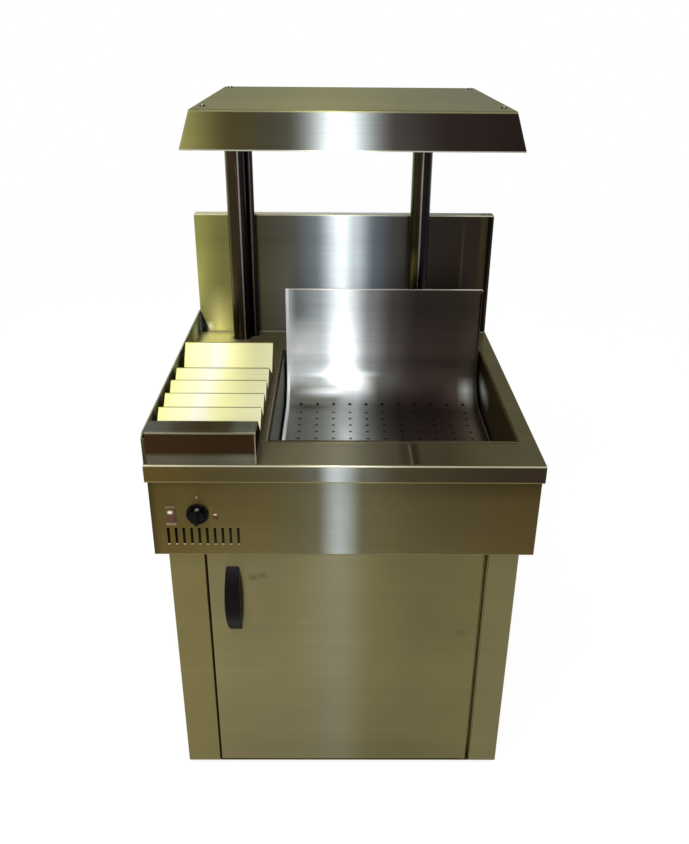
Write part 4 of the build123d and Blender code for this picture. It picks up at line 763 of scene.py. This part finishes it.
def dome(radius, height, seat=0.0002, steps=6):
    """The profile of a domed head, from under its seat up to its crown."""
    turn = [math.pi / 2 * i / steps for i in range(steps)]
    return [(0, -seat), (radius, -seat)] + [
        (radius * math.cos(a), height * math.sin(a)) for a in turn
    ] + [(0, height)]


def bead(inner, outer, height, steps=6):
    """The profile of a bead lying round a tube."""
    middle_r, half_w = (inner + outer) / 2, (outer - inner) / 2
    turn = [math.pi * i / steps for i in range(steps + 1)]
    return [(middle_r + half_w * math.cos(a), height * math.sin(a)) for a in turn]


def extruded(bm, outline, low, high, to_point):
    """Stretch an outline between two levels; to_point(u, v, level) gives each corner."""
    near, far = ([bm.verts.new(to_point(u, v, level)) for u, v in outline] for level in (low, high))
    bm.faces.new(near)
    bm.faces.new(far[::-1])
    for i in range(len(outline)):
        j = (i + 1) % len(outline)
        bm.faces.new([near[j], near[i], far[i], far[j]])


# ---------------------------------------------------------------- small fittings
def index_mark():
    """A domed dot of ivory paint on the apron, above the knob."""
    radius, height, aside, above = 0.0024, 0.0007, 0.0003, 0.0381
    ivory = plastic("index_paint", (158, 142, 112), (146, 130, 102), 0.4, specular=0.2)
    bm = bmesh.new()
    turned(bm, dome(radius, height), (DIAL[X] + aside, APRON_Y, DIAL[Z] + above), (0, -1, 0))
    piece("index_mark", bm, ivory)


def post_seals():
    """Beads of sealant round the posts and the conduit, where they pass through the worktop."""
    gap, width, height = 0.0001, 0.0028, 0.0016
    sealant = plastic("sealant", (96, 92, 84), (78, 74, 66), 0.45)
    bm = bmesh.new()
    for name in ("post_left", "post_right", "wiring_conduit"):
        low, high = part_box(name)
        radius = (high[X] - low[X]) / 2
        x, y, _ = middle(name)
        turned(bm, bead(radius + gap, radius + width, height), (x, y, WORKTOP_Z), (0, 0, 1), 48)
    piece("post_seals", bm, sealant)


def corner_gusset():
    """A triangular flange of the rack's side wall, welded to the foot of the upstand."""
    width, thick, gap = 0.026, 0.0012, 0.0003
    toe, crest = 0.002, 0.003       # its height at the toe and its width at the crest
    x0, y1 = wall_low[X] + SHEET_T + gap, wall_high[Y] - gap
    height = wall_high[Z] - WORKTOP_Z - 0.006
    steel = brushed(
        "steel_gusset",
        # painted reflections across the gusset: pale at both edges, dark in its middle
        [(x0, (120, 126, 128)), (x0 + 0.004, (52, 60, 64)), (x0 + 0.01, (30, 36, 40)),
         (x0 + 0.016, (72, 76, 76)), (x0 + width, (206, 204, 184))],
        rough=0.25,
    )
    bm = bmesh.new()
    extruded(
        bm, [(0.0, 0.0), (width, 0.0), (width, toe), (crest, height), (0.0, height)],
        y1 - thick, y1, lambda dx, dz, y: (x0 + dx, y, WORKTOP_Z + gap + dz),
    )
    bmesh.ops.bevel(bm, geom=list(bm.edges), offset=0.0003, segments=2, affect="EDGES")
    piece("corner_gusset", bm, steel)


def stile_strips():
    """Strips that close the stiles behind their returns and line the gaps beside the door."""
    _, door_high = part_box("door_inner")
    _, floor_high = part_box("cabinet_floor")
    left, right = OPEN_LEFT, OPEN_RIGHT
    skin, lining, foot = 0.0001, 0.001, 0.009   # clear of the return, into the gap, into the stile
    front = panel_low[Y] + 0.0025
    behind = panel_low[Y] + 0.0152              # just behind the returns
    rear = panel_low[Y] + 0.034
    bottom, top = panel_low[Z] + 0.002, panel_high[Z] - 0.011
    clear = 0.0035                              # from the door and from the cupboard's floor
    stop_left, stop_front = right - 0.0105, door_high[Y] + clear
    brown = plastic(
        "strip_brown", (146, 132, 84), (134, 119, 74), 0.5, specular=0.2, speckle=300.0,
        # painted shade on the strip in the gap at the left, the latch side
        marks=[((58, 46, 24), (X, OPEN_LEFT, 0.03, 0.1))],
    )
    outlines = [
        ([(left - SHEET_T, behind), (left - SHEET_T, rear - SHEET_T),
          (left - foot, rear - SHEET_T), (left - foot, rear), (left + lining, rear),
          (left + lining, front), (left + skin, front), (left + skin, behind)], bottom),
        ([(right - skin, front), (right - skin, behind), (right + SHEET_T, behind),
          (right + SHEET_T, rear), (right - SHEET_T, rear), (right - SHEET_T, front)], bottom),
        ([(stop_left, stop_front), (right - SHEET_T, stop_front),
          (right - SHEET_T, stop_front + SHEET_T), (stop_left, stop_front + SHEET_T)],
         floor_high[Z] + clear),
    ]
    bm = bmesh.new()
    for outline, low in outlines:
        extruded(bm, outline, low, top, lambda x, y, z: (x, y, z))
    bmesh.ops.bevel(bm, geom=list(bm.edges), offset=0.0002, segments=1, affect="EDGES")
    piece("stile_strips", bm, brown)


def back_rivets():
    """Blind rivets that hold the cabinet's back to the rear returns of its side panels."""
    radius, head = 0.0032, 0.0012
    count, end, inset = 6, 0.05, 0.012          # in each row, above and below it, from the side
    steel = metal("steel_rivet", (150, 148, 140), (110, 106, 96), 0.3)
    pitch = (panel_high[Z] - panel_low[Z] - 2 * end) / (count - 1)
    bm = bmesh.new()
    for sign in (-1, 1):
        for i in range(count):
            place = (sign * (-panel_low[X] - inset), panel_high[Y], panel_low[Z] + end + pitch * i)
            turned(bm, dome(radius, head), place, (0, 1, 0), 20)
    piece("back_rivets", bm, steel)


index_mark()
post_seals()
corner_gusset()
stile_strips()
back_rivets()

# ---------------------------------------------------------------- floor and world
FLOOR_SIZE = 14.0
FLOOR_WHITE = 0.65      # share of plain white in what the camera and the metal see of the floor
FLOOR_GLOW = 1.28       # its strength, which with the lit share comes to white
FLOOR_GREY = 0.8
SKY_ON_OBJECT, SKY_SEEN = 0.55, 1.0     # the sky's strength as a light, and where it is seen


def seen_directly(tree):
    """1 for camera, glossy and transmission rays."""
    path = tree.nodes.new("ShaderNodeLightPath")
    total = path.outputs["Is Camera Ray"]
    for ray in ("Is Glossy Ray", "Is Transmission Ray"):
        either = tree.nodes.new("ShaderNodeMath")
        either.operation = "MAXIMUM"
        tree.links.new(total, either.inputs[0])
        tree.links.new(path.outputs[ray], either.inputs[1])
        total = either.outputs["Value"]
    return total


half = FLOOR_SIZE / 2
floor_mesh = bpy.data.meshes.new("floor")
floor_mesh.from_pydata(
    [(-half, -half, 0), (half, -half, 0), (half, half, 0), (-half, half, 0)], [], [(0, 1, 2, 3)]
)
floor = bpy.data.objects.new("floor", floor_mesh)
bpy.context.scene.collection.objects.link(floor)
paint = Nodes("floor", Roughness=0.9)
paint.shader.inputs["Base Color"].default_value = (FLOOR_GREY, FLOOR_GREY, FLOOR_GREY, 1.0)
paint.shader.inputs["Specular IOR Level"].default_value = 0.0
glow = paint.add("ShaderNodeEmission")
glow.inputs["Color"].default_value = (1.0, 1.0, 1.0, 1.0)
glow.inputs["Strength"].default_value = FLOOR_GLOW
share = paint.math("MULTIPLY", seen_directly(paint.tree), FLOOR_WHITE)
blend = paint.add("ShaderNodeMixShader")
paint.link(share, blend.inputs["Fac"])
paint.link(paint.shader.outputs["BSDF"], blend.inputs[1])
paint.link(glow.outputs["Emission"], blend.inputs[2])
paint.link(blend.outputs["Shader"], paint.tree.nodes["Material Output"].inputs["Surface"])
floor_mesh.materials.append(paint.material)

world = bpy.data.worlds.new("world")
bpy.context.scene.world = world
world.use_nodes = True
tree = world.node_tree
tree.nodes.clear()
output = tree.nodes.new("ShaderNodeOutputWorld")
choose = tree.nodes.new("ShaderNodeMixShader")
tree.links.new(seen_directly(tree), choose.inputs["Fac"])
for slot, strength in ((1, SKY_ON_OBJECT), (2, SKY_SEEN)):
    sky = tree.nodes.new("ShaderNodeBackground")
    sky.inputs["Color"].default_value = (1.0, 1.0, 1.0, 1.0)
    sky.inputs["Strength"].default_value = strength
    tree.links.new(sky.outputs["Background"], choose.inputs[slot])
tree.links.new(choose.outputs["Shader"], output.inputs["Surface"])


# ---------------------------------------------------------------- lamps
def lamp(name, place, target, size, power):
    """A soft square lamp at a place, facing a target."""
    data = bpy.data.lights.new(name, "AREA")
    data.shape = "SQUARE"
    data.size = size
    data.energy = power
    light = bpy.data.objects.new(name, data)
    bpy.context.scene.collection.objects.link(light)
    light.location = place
    direction = Vector(target) - Vector(place)
    light.rotation_mode = "QUATERNION"
    light.rotation_quaternion = direction.to_track_quat("-Z", "Y")


lamp("key", place=(-1.6, -2.0, 3.4), target=(0, 0, 0.8), size=1.6, power=35)
lamp("fill", place=(2.2, -1.6, 2.2), target=(0, 0, 0.8), size=1.6, power=12)
lamp("front", place=(-0.006, -1.84, 1.74), target=(0, 0, 0.9), size=0.08, power=9)
